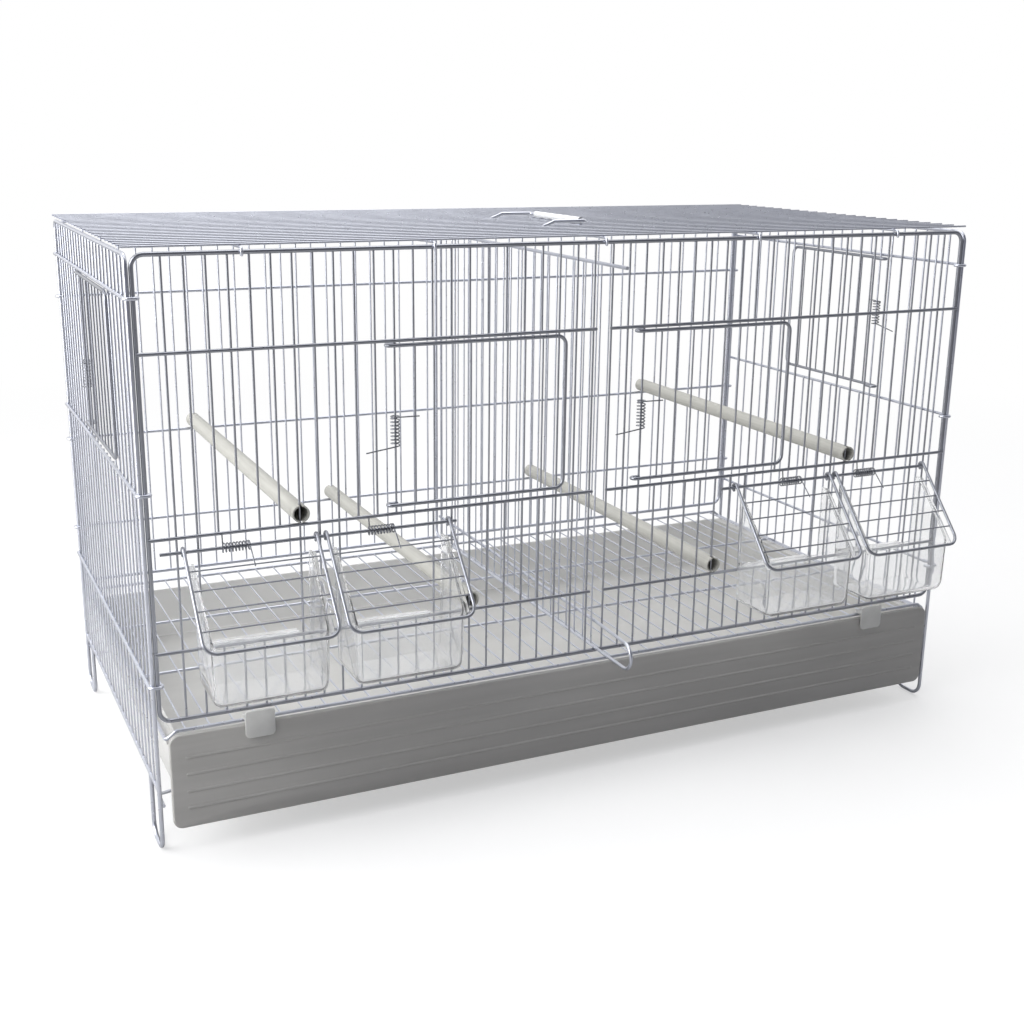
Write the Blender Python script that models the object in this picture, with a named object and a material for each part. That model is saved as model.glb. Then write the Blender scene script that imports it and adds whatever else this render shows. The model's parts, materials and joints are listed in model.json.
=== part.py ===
"""A wire breeding cage for small birds: welded grilles, sprung doors, feeder hatches and a slide-out tray.

X runs along the front, Y from the front to the back and Z up, in metres. Pieces are drawn about
the middle of the cage, which stands on Z = 0, a little behind the middle of the whole object.
Each grille is drawn flat in (u, v, w): u to the right and v upwards as seen from outside, and w
outwards, with w = 0 at the middle of its bars.
"""

import math

import bmesh
import bpy
from mathutils import Matrix, Vector

MM = 0.001

# Cage
WIDTH = 600 * MM  # between the end wires of the front panel
DEPTH = 294.6 * MM  # between the front and back panels
HEIGHT = 370 * MM  # top wires of the panels above the floor
GAP = 0.3 * MM  # between separate pieces that rest on each other
SINK = 0.2 * MM  # how far a welded wire sinks into the one it crosses

# Wires
FRAME_R = 1.4 * MM
SIDE_BOTTOM_R = 1.3 * MM
RAIL_R = 1.1 * MM
TOP_RAIL_R = 1.0 * MM
BAR_HALF = 0.65 * MM  # bars are drawn square, and this is half of a side
LIGHT_BAR_HALF = 0.55 * MM  # bars of doors, floor grille and divider
DOOR_R = 1.2 * MM
HATCH_R = 1.1 * MM
HATCH_BAR_HALF = 0.5 * MM
ROD_R = 1.1 * MM
DIVIDER_R = 1.2 * MM
GRILLE_R = 1.2 * MM
SPRING_R = 0.45 * MM
CORNER = 6 * MM  # bend of a frame wire at a corner

# Bars
PITCH = 12.6 * MM
SLOT = 13.2 * MM  # between the two middle bars, where the divider goes in
END_GAP_LEAST = 10 * MM  # from the last bar to the end wire

# Rails of the front and back panels
RAIL_TOP_DROP = 55.7 * MM  # below the panel's top wire
RAIL_MIDDLE = 204.5 * MM  # above the floor, like the rest
RAIL_LOW = 133 * MM
PANEL_BOTTOM = 88.3 * MM

# Rails of the side panels
SIDE_RAIL_TOP_DROP = 24 * MM  # below the panel's top wire
SIDE_RAIL_ABOVE_MIDDLE = 27.5 * MM  # the middle one above the front panel's
SIDE_RAIL_BELOW_LOW = 21 * MM  # the low one below the front panel's
SIDE_BOTTOM = 42 * MM
RUNNER_HEIGHT = 32 * MM
RUNNER_INSET = 17 * MM  # the tray runner stands in from the side bars by this
FOOT_WIDTH = 27.6 * MM
FOOT_BEND = 9 * MM

# Doors
DOOR_PITCHES = 9  # bar spaces from the hinge bar to the closing bar
DOOR_LAP = 3.9 * MM  # door edge past its closing bar
DOOR_UNDER_RAIL = 3.0 * MM
FRONT_DOOR_OVER_RAIL = 5.5 * MM
SIDE_DOOR_OVER_RAIL = 8.0 * MM
DOOR_CORNER = 6 * MM
DOOR_HOOK_REACH = 3.0 * MM  # straight part of the hook past the hinge bar
LEFT_DOOR_BAR = 11  # hinge bar, counted outwards from the slot
RIGHT_DOOR_BAR = 2  # counted in the same way
LEFT_SIDE_DOOR_BAR = 2  # hinge bar, counted from the middle of the side
RIGHT_SIDE_DOOR_BAR = 4  # counted in the same way

# Feeder hatches and cups
FEEDER_PITCHES = 5  # bar spaces across a feeder opening
OUTER_FEEDER_BAR = 21  # outer bar of each outer opening, counted from the slot
FEEDER_STEP = 7  # from the outer opening to the inner one, counted in bars
HATCH_LAP = 9.5 * MM  # hatch side past the opening
HATCH_LENGTH = 67.3 * MM
HATCH_SLOPE = math.radians(48.5)
HATCH_CORNER = 8 * MM
HATCH_BAR_STEP = 12.9 * MM
HATCH_BARS = 4
HATCH_END_STEP = 14.5 * MM
ROD_UNDER_RAIL = 9 * MM  # below the middle rail
LEFT_ROD_ENDS = (13.7 * MM, 5.4 * MM)  # past the outer and the inner hatch
RIGHT_ROD_ENDS = (2.7 * MM, 11.8 * MM)
CUP_WIDTH = 80 * MM
CUP_DEPTH = 41.5 * MM
CUP_UNDER_RAIL = 25 * MM  # cup's bottom below the low rail
CUP_FRONT_UNDER_ROD = 50 * MM
CUP_BACK_UNDER_ROD = 7.5 * MM
CUP_WALL = 1.6 * MM
CUP_BEND = 8 * MM
CUP_LIP_WIDTH = 56 * MM
CUP_LIP_DROP = 5 * MM
CUP_FLANGE = 1.8 * MM

# Springs
COIL_R = 2.7 * MM
DOOR_COIL_TURNS = 5
HATCH_COIL_TURNS = 4
COIL_POINTS = 8
COIL_LENGTH = 18 * MM
HATCH_COIL_LENGTH = 16 * MM
SPRING_DOOR_LEG = 15 * MM
SPRING_PANEL_LEG = 19.8 * MM
LEFT_SPRING_SHARE = 0.375  # where a coil starts, as a share of the door's height
RIGHT_SPRING_SHARE = 0.346
LEFT_SIDE_SPRING_SHARE = 0.243
RIGHT_SIDE_SPRING_SHARE = 0.485
HATCH_SPRING_STARTS = (-17.8 * MM, -13.5 * MM, -1.5 * MM, -22.7 * MM)

# Perches
PERCH_R = 5.5 * MM
PERCH_WALL = 0.9 * MM
PERCH_PAST_RAIL = 0.6 * MM
PERCH_SLOT_CLEAR = 0.35 * MM
UPPER_PERCH_BAR = 16  # the bar that a perch's end straddles, counted outwards from the slot
LOWER_PERCH_BAR = 7  # counted in the same way

# Divider
DIVIDER_UNDER_TOP = 14 * MM  # below the panels' top wires
DIVIDER_TOP_LEAD = 30 * MM  # cut end of the top wire ahead of the front panel
DIVIDER_BACK_GAP = 3.8 * MM
HANDLE_LOOP_R = 9 * MM
HANDLE_LEAD = 52.7 * MM

# Tray and floor grille
TRAY_PLATE_SIDE_GAP = 3.5 * MM  # from the plate to the panel's end wire
TRAY_PLATE_BOTTOM = 17 * MM
TRAY_PLATE_TOP = 80 * MM
TRAY_PLATE_THICK = 3 * MM
TRAY_PLATE_LEAD = 3 * MM  # plate's back face ahead of the front bars
TRAY_CORNER = 8 * MM
TRAY_SIDE_GAP = 9 * MM
TRAY_BACK_GAP = 7.3 * MM
TRAY_WALL = 1.8 * MM
TRAY_RIM_WIDTH = 7 * MM
TRAY_RIM_THICK = 1.5 * MM
TRAY_RIBS = (30.4 * MM, 41.6 * MM, 53.2 * MM, 64.6 * MM)
TRAY_RIB_HIGH = 1.6 * MM
TRAY_RIB_PROUD = 0.5 * MM
TRAY_RIB_INSET = 7.5 * MM
GRILLE_PITCH = 15 * MM
GRILLE_DROP = 5 * MM  # side runners below the grille
GRILLE_SIDE_GAP = 2.5 * MM
GRILLE_SHOULDER = 6.5 * MM
GRILLE_LEAD = 1.5 * MM
GRILLE_BACK_GAP = 5.3 * MM
GRILLE_BEND = 3 * MM
CLIP_INSET = 60 * MM  # clip's middle in from the panel's end wire
CLIP_WIDTH = 19 * MM
CLIP_THICK = 1.5 * MM
CLIP_BOTTOM = 68 * MM
CLIP_TOP = 92 * MM

# Top panel and carrying handle
TOP_OVERHANG = 5 * MM  # top bars past the front panel's end wires
CROSS_STEP = 119 * MM
CARRY_HALF = 44.1 * MM
CARRY_CENTRE_Y = -18.9 * MM
CARRY_REACH = 31 * MM
CARRY_WIRE_R = 1.5 * MM
GRIP_R = 2.4 * MM
GRIP_HALF = 36 * MM

HEX_FLAT = math.cos(math.radians(30))  # middle of a side of a six-sided wire, as a share of its radius
HEX_TURN = math.radians(30)  # puts flat sides in the grille's plane and ridges along w
SQUARE_TURN = math.radians(45 + 2)  # a hair's twist keeps the corners of a row of bars out of one line
SMOOTH_BELOW = math.radians(65)

FRONT_Y = -DEPTH / 2
END_X = WIDTH / 2
RAIL_TOP = HEIGHT - RAIL_TOP_DROP
SIDE_RAIL_TOP = HEIGHT - SIDE_RAIL_TOP_DROP
SIDE_RAIL_MIDDLE = RAIL_MIDDLE + SIDE_RAIL_ABOVE_MIDDLE
SIDE_RAIL_LOW = RAIL_LOW - SIDE_RAIL_BELOW_LOW
SIDE_OUT = 2 * FRAME_R + GAP  # side panels stand outside the front panel's end wires
SIDE_X = END_X + SIDE_OUT
FOOT_Z = FRAME_R * HEX_FLAT
RAIL_W = BAR_HALF + SINK + RAIL_R  # rails pass the whole bars with a hair's gap
CUT_LIFT = 2 * SINK  # and cut bars lean out into them
ROD_W = BAR_HALF + CUT_LIFT + GAP + ROD_R
ROD_HEIGHT = RAIL_MIDDLE - ROD_UNDER_RAIL
DOOR_W = BAR_HALF * math.sqrt(2) + GAP + DOOR_R
DOOR_WIDTH = DOOR_PITCHES * PITCH + DOOR_LAP
HATCH_W = ROD_R + GAP + HATCH_R
HATCH_HALF = FEEDER_PITCHES * PITCH / 2 + HATCH_LAP
CUP_BACK_W = RAIL_W + RAIL_R + GAP
CUP_BOTTOM = RAIL_LOW - CUP_UNDER_RAIL
CUP_FRONT_TOP = ROD_HEIGHT - CUP_FRONT_UNDER_ROD
CUP_BACK_TOP = ROD_HEIGHT - CUP_BACK_UNDER_ROD
TOP_CROSS_Z = HEIGHT + FRAME_R + GAP + TOP_RAIL_R
TOP_BAR_Z = TOP_CROSS_Z + TOP_RAIL_R - SINK + BAR_HALF
GRILLE_Z = TRAY_PLATE_TOP + GAP + GRILLE_R
TRAY_RIM_TOP = GRILLE_Z - GRILLE_DROP - GRILLE_R - GAP
TRAY_FLOOR = RUNNER_HEIGHT + RAIL_R + GAP
DIVIDER_BOTTOM = PANEL_BOTTOM + FRAME_R + GAP + DIVIDER_R
DIVIDER_TOP = HEIGHT - DIVIDER_UNDER_TOP
PERCH_HALF = DEPTH / 2 + RAIL_W + RAIL_R + PERCH_PAST_RAIL
HANDLE_FRONT = DEPTH / 2 + HANDLE_LEAD + DIVIDER_R * HEX_FLAT
SET_BACK = (HANDLE_FRONT - PERCH_HALF) / 2  # puts the whole object's middle on Y = 0


# Scene and materials


def clear_scene():
    for obj in list(bpy.data.objects):
        bpy.data.objects.remove(obj)


def material(name, colour, roughness, metallic, alpha=1.0, transmission=0.0):
    made = bpy.data.materials.new(name)
    made.use_nodes = True
    shader = made.node_tree.nodes["Principled BSDF"]
    shader.inputs["Base Color"].default_value = (*colour, 1.0)
    shader.inputs["Roughness"].default_value = roughness
    shader.inputs["Metallic"].default_value = metallic
    shader.inputs["Alpha"].default_value = alpha
    shader.inputs["Transmission Weight"].default_value = transmission
    return made


def zinc_wire(name):
    return material(name + "_zinc", (0.62, 0.64, 0.7), 0.35, 0.9)


def spring_wire(name):
    return material(name + "_spring_steel", (0.5, 0.52, 0.58), 0.3, 1.0)


def clear_plastic(name):
    return material(name + "_clear_plastic", (0.9, 0.92, 0.93), 0.08, 0.0, 0.35, 0.9)


def grey_plastic(name):
    return material(name + "_grey_plastic", (0.25, 0.25, 0.23), 0.45, 0.0)


def perch_plastic(name):
    return material(name + "_cream_plastic", (0.62, 0.61, 0.55), 0.5, 0.0)


def white_plastic(name):
    return material(name + "_white_plastic", (0.8, 0.8, 0.8), 0.4, 0.0)


# Objects


def finish(obj, finish_of):
    obj.data.materials.append(finish_of(obj.name))
    bpy.context.scene.collection.objects.link(obj)
    return obj


def solid(name, bm, finish_of, place=None, parent=None):
    """One node from a bmesh, shaded smooth where it is round."""
    bmesh.ops.recalc_face_normals(bm, faces=bm.faces)
    mesh = bpy.data.meshes.new(name)
    bm.to_mesh(mesh)
    bm.free()
    mesh.shade_smooth()
    mesh.set_sharp_from_angle(angle=SMOOTH_BELOW)
    obj = finish(bpy.data.objects.new(name, mesh), finish_of)
    obj.parent = parent
    obj.matrix_basis = place or Matrix()
    return obj


def helper(name, bm, owner):
    """A guide solid in its owner's frame, for a Boolean."""
    bmesh.ops.recalc_face_normals(bm, faces=bm.faces)
    mesh = bpy.data.meshes.new(name)
    bm.to_mesh(mesh)
    bm.free()
    obj = bpy.data.objects.new(name, mesh)
    bpy.context.scene.collection.objects.link(obj)
    obj.parent = owner
    obj.hide_render = True
    obj.display_type = "WIRE"
    return obj


def combine(owner, bm, operation):
    modifier = owner.modifiers.new(operation.title(), "BOOLEAN")
    modifier.operation = operation
    modifier.solver = "EXACT"
    modifier.object = helper(f"{owner.name}_{operation.lower()}_{len(owner.modifiers)}", bm, owner)


def weld(owner, *parts):
    for bm in parts:
        combine(owner, bm, "UNION")


def cut(owner, *parts):
    for bm in parts:
        combine(owner, bm, "DIFFERENCE")


def pivot(name, place):
    """An empty on a joint's axis, which carries the pieces that move with it."""
    empty = bpy.data.objects.new(name, None)
    bpy.context.scene.collection.objects.link(empty)
    empty.empty_display_size = 10 * MM
    empty.matrix_basis = place
    return empty


def basis(origin, u, v, w):
    """The placing of a piece drawn in (u, v, w)."""
    turned = Matrix((u, v, w)).transposed().to_4x4()
    turned.translation = origin
    return turned


X, Y, Z = Vector((1, 0, 0)), Vector((0, 1, 0)), Vector((0, 0, 1))
CAGE = Matrix.Translation((0, SET_BACK, 0))
FRONT = CAGE @ basis(Vector((0, FRONT_Y, 0)), X, Z, -Y)
BACK = CAGE @ basis(Vector((0, -FRONT_Y, 0)), -X, Z, Y)
LEFT = CAGE @ basis(Vector((-SIDE_X, 0, 0)), -Y, Z, -X)
RIGHT = CAGE @ basis(Vector((SIDE_X, 0, 0)), Y, Z, X)


# Wire shapes


def arc(centre, radius, start, end, steps, across, along):
    """Points on an arc, with angles from across towards along."""
    angles = [start + (end - start) * k / steps for k in range(steps + 1)]
    return [centre + (across * math.cos(a) + along * math.sin(a)) * radius for a in angles]


def rounded(points, radius, steps=2, closed=False):
    """The path with each inner corner bent to the radius."""
    count = len(points)
    path = []
    for i, corner in enumerate(points):
        if not closed and i in (0, count - 1):
            path.append(corner)
            continue
        come = (corner - points[i - 1]).normalized()
        go = (points[(i + 1) % count] - corner).normalized()
        turn = come.angle(go)
        start = corner - come * radius * math.tan(turn / 2)
        axis = come.cross(go).normalized()
        centre = start + axis.cross(come) * radius
        path += [
            centre + Matrix.Rotation(turn * k / steps, 3, axis) @ (start - centre)
            for k in range(steps + 1)
        ]
    return path


def wire(bm, path, radius, sides=6, turn=HEX_TURN, up=(0, 0, 1), closed=False):
    """Adds a wire of constant section: its ring slides along each stretch to the mitre plane."""
    points = [Vector(p) for p in path]
    start = (points[0] + points[-1]) / 2 if closed else points[0]
    heading = (points[0] - points[-1] if closed else points[1] - points[0]).normalized()
    side = heading.cross(Vector(up)).normalized()
    top = side.cross(heading)
    angles = [turn + math.tau * k / sides for k in range(sides)]
    ring = [start + (side * math.cos(a) + top * math.sin(a)) * radius for a in angles]
    rings = [] if closed else [ring]
    for i in range(0 if closed else 1, len(points)):
        come = (points[i] - (points[i - 1] if i or closed else start)).normalized()
        last = i == len(points) - 1 and not closed
        go = come if last else (points[(i + 1) % len(points)] - points[i]).normalized()
        mitre = (come + go).normalized()
        ring = [q + come * (points[i] - q).dot(mitre) / come.dot(mitre) for q in ring]
        rings.append(ring)
    made = [[bm.verts.new(q) for q in ring] for ring in rings]
    for here, there in zip(made, made[1:] + made[:1] if closed else made[1:]):
        for k in range(sides):
            bm.faces.new((here[k], here[(k + 1) % sides], there[(k + 1) % sides], there[k]))
    if not closed:
        bm.faces.new(made[0][::-1])
        bm.faces.new(made[-1])


def bar(bm, start, end, half=BAR_HALF, up=(0, 0, 1)):
    wire(bm, (start, end), half * math.sqrt(2), 4, SQUARE_TURN, up)


def box(bm, low, high):
    low, high = Vector(low), Vector(high)
    place = Matrix.Translation((low + high) / 2) @ Matrix.Diagonal((*(high - low), 1))
    bmesh.ops.create_cube(bm, size=1, matrix=place)


def extruded(bm, outline, depth):
    """A flat outline pushed out by the vector depth."""
    face = bm.faces.new([bm.verts.new(p) for p in outline])
    made = bmesh.ops.extrude_face_region(bm, geom=[face])["geom"]
    moved = [v for v in made if isinstance(v, bmesh.types.BMVert)]
    bmesh.ops.translate(bm, vec=depth, verts=moved)


# Grilles


def bars_per_half():
    return int((END_X - SLOT / 2 - END_GAP_LEAST) / PITCH) + 1


def bar_u(k):
    """The k-th bar from the slot, to the right of it."""
    return SLOT / 2 + k * PITCH


def front_bars():
    right = [bar_u(k) for k in range(bars_per_half())]
    return [-u for u in reversed(right)] + right


def side_bar(k):
    return (k + 0.5) * PITCH


def side_bars():
    count = int((DEPTH / 2 - END_GAP_LEAST) / PITCH - 0.5) + 1
    right = [side_bar(k) for k in range(count)]
    return [-u for u in reversed(right)] + right


def feeder_openings():
    """(left bar, right bar) of the four feeder openings, from the left."""
    outer = [bar_u(OUTER_FEEDER_BAR - FEEDER_STEP * k) for k in (0, 1)]
    spans = [(u - FEEDER_PITCHES * PITCH, u) for u in outer]
    return [(-b, -a) for a, b in spans] + spans[::-1]


def front_door_hinges():
    return (-bar_u(LEFT_DOOR_BAR), bar_u(RIGHT_DOOR_BAR))


def bar_stretches(u, low, high, openings):
    """What is left of a bar between the frame's wires, as (bottom, top, bottom cut, top cut)."""
    stretches = [(low, high, False, False)]
    for left, right, sill, lintel in openings:
        if not left + PITCH / 2 < u < right - PITCH / 2:
            continue
        kept = []
        for bottom, top, cut_bottom, cut_top in stretches:
            if bottom < sill:
                kept.append((bottom, min(sill, top), cut_bottom, cut_top or top > sill))
            if top > lintel:
                kept.append((max(lintel, bottom), top, cut_bottom or bottom < lintel, cut_top))
        stretches = kept
    return stretches


def grille_bars(bars, low, high, openings):
    """The bars of a panel. An end that is cut at an opening leans out into the rail there."""
    bm = bmesh.new()
    past = 1.5 * SINK
    for u in bars:
        for bottom, top, cut_bottom, cut_top in bar_stretches(u, low, high, openings):
            start = Vector((u, bottom - past * cut_bottom, CUT_LIFT * cut_bottom))
            end = Vector((u, top + past * cut_top, CUT_LIFT * cut_top))
            bar(bm, start, end)
    return bm


def rectangle(left, right, bottom, top, w=0.0):
    return [Vector(p) for p in ((left, bottom, w), (right, bottom, w), (right, top, w), (left, top, w))]


def end_frame():
    """The frame wire of the front and the back panel."""
    bm = bmesh.new()
    corners = rectangle(-END_X, END_X, PANEL_BOTTOM, HEIGHT)
    wire(bm, rounded(corners, CORNER, closed=True), FRAME_R, closed=True)
    return bm


def front_panel():
    openings = [(u, u + DOOR_PITCHES * PITCH, RAIL_MIDDLE, RAIL_TOP) for u in front_door_hinges()]
    openings += [(a, b, RAIL_LOW, RAIL_MIDDLE) for a, b in feeder_openings()]
    bars = grille_bars(front_bars(), PANEL_BOTTOM, HEIGHT, openings)
    rails = bmesh.new()
    rail_start = SLOT / 2 - FRAME_R
    for v in (RAIL_TOP, RAIL_MIDDLE, RAIL_LOW):
        for side in (-1, 1):
            ends = (side * rail_start, v, RAIL_W), (side * (END_X + SINK), v, RAIL_W)
            wire(rails, ends, RAIL_R)
    weld(solid("front_panel", end_frame(), zinc_wire, FRONT), bars, rails)


def back_panel():
    """The back rails end in hooks round the side panels' rear wires."""
    bars = grille_bars(front_bars(), PANEL_BOTTOM, HEIGHT, [])
    rails = bmesh.new()
    hook = FRAME_R + GAP + RAIL_R
    step = [(END_X + SINK, RAIL_W), (SIDE_X - GAP * 2, hook)]
    bend = [step[1], (SIDE_X + hook, hook), (SIDE_X + hook, -hook), (SIDE_X - RAIL_R, -hook)]
    for v in (RAIL_TOP, RAIL_MIDDLE, RAIL_LOW):
        start = Vector((step[0][0], v, step[0][1]))
        ends = [start] + rounded([Vector((u, v, w)) for u, w in bend], hook)
        mirrored = [Vector((-p.x, p.y, p.z)) for p in reversed(ends)]
        wire(rails, mirrored + ends, RAIL_R, up=(0, 1, 0), turn=0)
    weld(solid("back_panel", end_frame(), zinc_wire, BACK), bars, rails)


# Side panels


def side_frame():
    """One wire: up the front, along the top, down the back, with a foot bent up at each end."""
    half = DEPTH / 2
    inner = half - FOOT_WIDTH
    top = SIDE_BOTTOM + SINK
    ends = [(inner, top, 0), (inner, FOOT_Z, 0), (half, FOOT_Z, 0)]
    right = [Vector(p) for p in ends]
    left = [Vector((-p.x, p.y, p.z)) for p in right]
    corners = rounded([left[0], left[1], left[2], Vector((-half, HEIGHT / 2, 0))], FOOT_BEND, 3)[:-1]
    corners += rounded(
        [Vector((-half, HEIGHT / 2, 0)), Vector((-half, HEIGHT, 0)), Vector((half, HEIGHT, 0)),
         Vector((half, HEIGHT / 2, 0))], CORNER)[1:-1]
    corners += rounded([Vector((half, HEIGHT / 2, 0)), right[2], right[1], right[0]], FOOT_BEND, 3)[1:]
    bm = bmesh.new()
    wire(bm, corners, FRAME_R)
    return bm


def side_rails(front):
    """Rails hooked round the front panel's end wire. front is the sign of u at the front."""
    bm = bmesh.new()
    hook = FRAME_R + GAP + RAIL_R
    half = DEPTH / 2
    for v in (SIDE_RAIL_TOP, SIDE_RAIL_MIDDLE, SIDE_RAIL_LOW):
        corners = (
            (-half - SINK, RAIL_W),
            (half + hook, RAIL_W),
            (half + hook, -SIDE_OUT - hook),
            (half - RAIL_R, -SIDE_OUT - hook),
        )
        path = [Vector((front * u, v, w)) for u, w in corners]
        wire(bm, rounded(path, hook), RAIL_R, up=(0, 1, 0), turn=0)
    return bm


def tray_runner():
    """A wire bent inwards between the legs, on which the tray slides."""
    bm = bmesh.new()
    half = DEPTH / 2 + SINK
    leg_w = -FRAME_R - RAIL_R + 2 * SINK
    step = RUNNER_INSET
    corners = ((-half, leg_w), (step - half, leg_w), (step + RAIL_R * 3 - half, -RUNNER_INSET))
    left = [Vector((u, RUNNER_HEIGHT, w)) for u, w in corners]
    right = [Vector((-p.x, p.y, p.z)) for p in reversed(left)]
    wire(bm, left + right, RAIL_R, up=(0, 1, 0), turn=0)
    return bm


def side_panel(name, place, front, door_bar):
    hinge = -side_bar(door_bar)
    openings = [(hinge, hinge + DOOR_PITCHES * PITCH, SIDE_RAIL_MIDDLE, SIDE_RAIL_TOP)]
    bars = grille_bars(side_bars(), SIDE_BOTTOM, HEIGHT, openings)
    bottom = bmesh.new()
    half = DEPTH / 2
    wire(bottom, ((-half, SIDE_BOTTOM, 0), (half, SIDE_BOTTOM, 0)), SIDE_BOTTOM_R)
    panel = solid(name, side_frame(), zinc_wire, place)
    weld(panel, bottom, bars, side_rails(front), tray_runner())


# Top panel


def top_cross_wire(bm, x, sag):
    """A wire from front to back whose ends hook over the panels' top wires."""
    centre = Vector((x, DEPTH / 2, HEIGHT))
    ends = arc(centre, TOP_CROSS_Z - HEIGHT, math.radians(90), math.radians(-40), 4, Y, Z)
    if sag:
        last_bar = side_bars()[-1]
        start = [Vector((x, last_bar - PITCH / 2, TOP_CROSS_Z - sag)), Vector((x, last_bar, TOP_CROSS_Z))]
        ends = start + ends
    mirrored = [Vector((p.x, -p.y, p.z)) for p in reversed(ends)]
    wire(bm, mirrored + ends, TOP_RAIL_R, up=(1, 0, 0), turn=0)


def top_panel():
    """Bars from side to side on cross wires that hook over the front and the back. The two outer
    cross wires are welded to every bar and those between to the first and the last bar."""
    crosses = bmesh.new()
    for step in (-2, -1, 0, 1, 2):
        top_cross_wire(crosses, step * CROSS_STEP, 2 * SINK if abs(step) < 2 else 0)
    bars = bmesh.new()
    reach = END_X + TOP_OVERHANG
    for y in side_bars():
        bar(bars, (-reach, y, TOP_BAR_Z), (reach, y, TOP_BAR_Z))
    weld(solid("top_panel", bars, zinc_wire, CAGE), crosses)


# Doors


def door_hook(v, hinge_side):
    """The end of a door wire, bent to a U round the hinge bar."""
    bend = Vector((-DOOR_HOOK_REACH, v, 0))
    hook = arc(bend, DOOR_W, math.radians(270), math.radians(90), 4, X, Z)
    return [Vector((BAR_HALF * 3, v, -DOOR_W))] + hook if hinge_side else hook


def door(name, place, bottom, top):
    """A U of wire with its ends hooked round the hinge bar, and bars aligned with the panel's."""
    hinge = pivot(name + "_hinge", place @ Matrix.Translation((0, bottom, 0)))
    high = top - bottom
    edge = [Vector((0, 0, DOOR_W)), Vector((DOOR_WIDTH, 0, DOOR_W)),
            Vector((DOOR_WIDTH, high, DOOR_W)), Vector((0, high, DOOR_W))]
    path = door_hook(0, True) + rounded(edge, DOOR_CORNER)[1:-1] + door_hook(high, True)[::-1]
    bm = bmesh.new()
    wire(bm, path, DOOR_R, turn=HEX_TURN, up=(0, 1, 0))
    bars = bmesh.new()
    for k in range(1, DOOR_PITCHES):
        bar(bars, (k * PITCH, 0, DOOR_W), (k * PITCH, high, DOOR_W), LIGHT_BAR_HALF)
    weld(solid(name, bm, zinc_wire, parent=hinge), bars)


def doors():
    """The four doors with their springs."""
    left_u, right_u = front_door_hinges()
    front = (RAIL_MIDDLE + FRONT_DOOR_OVER_RAIL, RAIL_TOP - DOOR_UNDER_RAIL)
    side = (SIDE_RAIL_MIDDLE + SIDE_DOOR_OVER_RAIL, SIDE_RAIL_TOP - DOOR_UNDER_RAIL)
    places = (
        ("left_front_door", FRONT, left_u, front, LEFT_SPRING_SHARE),
        ("right_front_door", FRONT, right_u, front, RIGHT_SPRING_SHARE),
        ("left_side_door", LEFT, -side_bar(LEFT_SIDE_DOOR_BAR), side, LEFT_SIDE_SPRING_SHARE),
        ("right_side_door", RIGHT, -side_bar(RIGHT_SIDE_DOOR_BAR), side, RIGHT_SIDE_SPRING_SHARE),
    )
    for name, panel, u, (bottom, top), share in places:
        place = panel @ Matrix.Translation((u, 0, 0))
        door(name, place, bottom, top)
        door_spring(name + "_spring", place, bottom, top, share)


# Feeder hatches


def hatch_places():
    """The middle of each hatch's hinge rod, with its frame: along the rod, up, outwards."""
    names = ("left_outer", "left_inner", "right_inner", "right_outer")
    middles = [(a + b) / 2 for a, b in feeder_openings()]
    return {n: FRONT @ Matrix.Translation((u, ROD_HEIGHT, ROD_W)) for n, u in zip(names, middles)}


def hatch_rod(name, low_u, high_u):
    bm = bmesh.new()
    wire(bm, ((low_u, ROD_HEIGHT, ROD_W), (high_u, ROD_HEIGHT, ROD_W)), ROD_R)
    solid(name, bm, zinc_wire, FRONT)


def hatch_rods():
    outer = bar_u(OUTER_FEEDER_BAR) + HATCH_LAP
    inner = bar_u(OUTER_FEEDER_BAR - FEEDER_STEP - FEEDER_PITCHES) - HATCH_LAP
    hatch_rod("left_hatch_rod", -outer - LEFT_ROD_ENDS[0], -inner + LEFT_ROD_ENDS[1])
    hatch_rod("right_hatch_rod", inner - RIGHT_ROD_ENDS[1], outer + RIGHT_ROD_ENDS[0])


def hatch(name, place):
    """A U of wire hooked over the rod, with cross bars, drawn flat and turned to its slope."""
    slope = Matrix.Rotation(math.pi / 2 + HATCH_SLOPE, 4, "X")
    hinge = pivot(name + "_hinge", place @ slope)
    half, high = HATCH_HALF, -HATCH_W
    hook = arc(Vector((0, 0, 0)), HATCH_W, math.radians(60), math.radians(270), 5, Y, Z)
    left = [Vector((-half, p.y, p.z)) for p in hook]
    edge = [Vector((-half, 0, high)), Vector((-half, HATCH_LENGTH, high)),
            Vector((half, HATCH_LENGTH, high)), Vector((half, 0, high))]
    right = [Vector((half, p.y, p.z)) for p in reversed(hook)]
    bm = bmesh.new()
    wire(bm, left + rounded(edge, HATCH_CORNER)[1:-1] + right, HATCH_R, up=(1, 0, 0), turn=0)
    bars = bmesh.new()
    for k in range(HATCH_BARS):
        v = HATCH_LENGTH - HATCH_END_STEP - k * HATCH_BAR_STEP
        bar(bars, (-half, v, high), (half, v, high), HATCH_BAR_HALF)
    weld(solid(name, bm, zinc_wire, parent=hinge), bars)


def hatches():
    for name, place in hatch_places().items():
        hatch(name + "_feeder_hatch", place)


# Feeder cups


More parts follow.
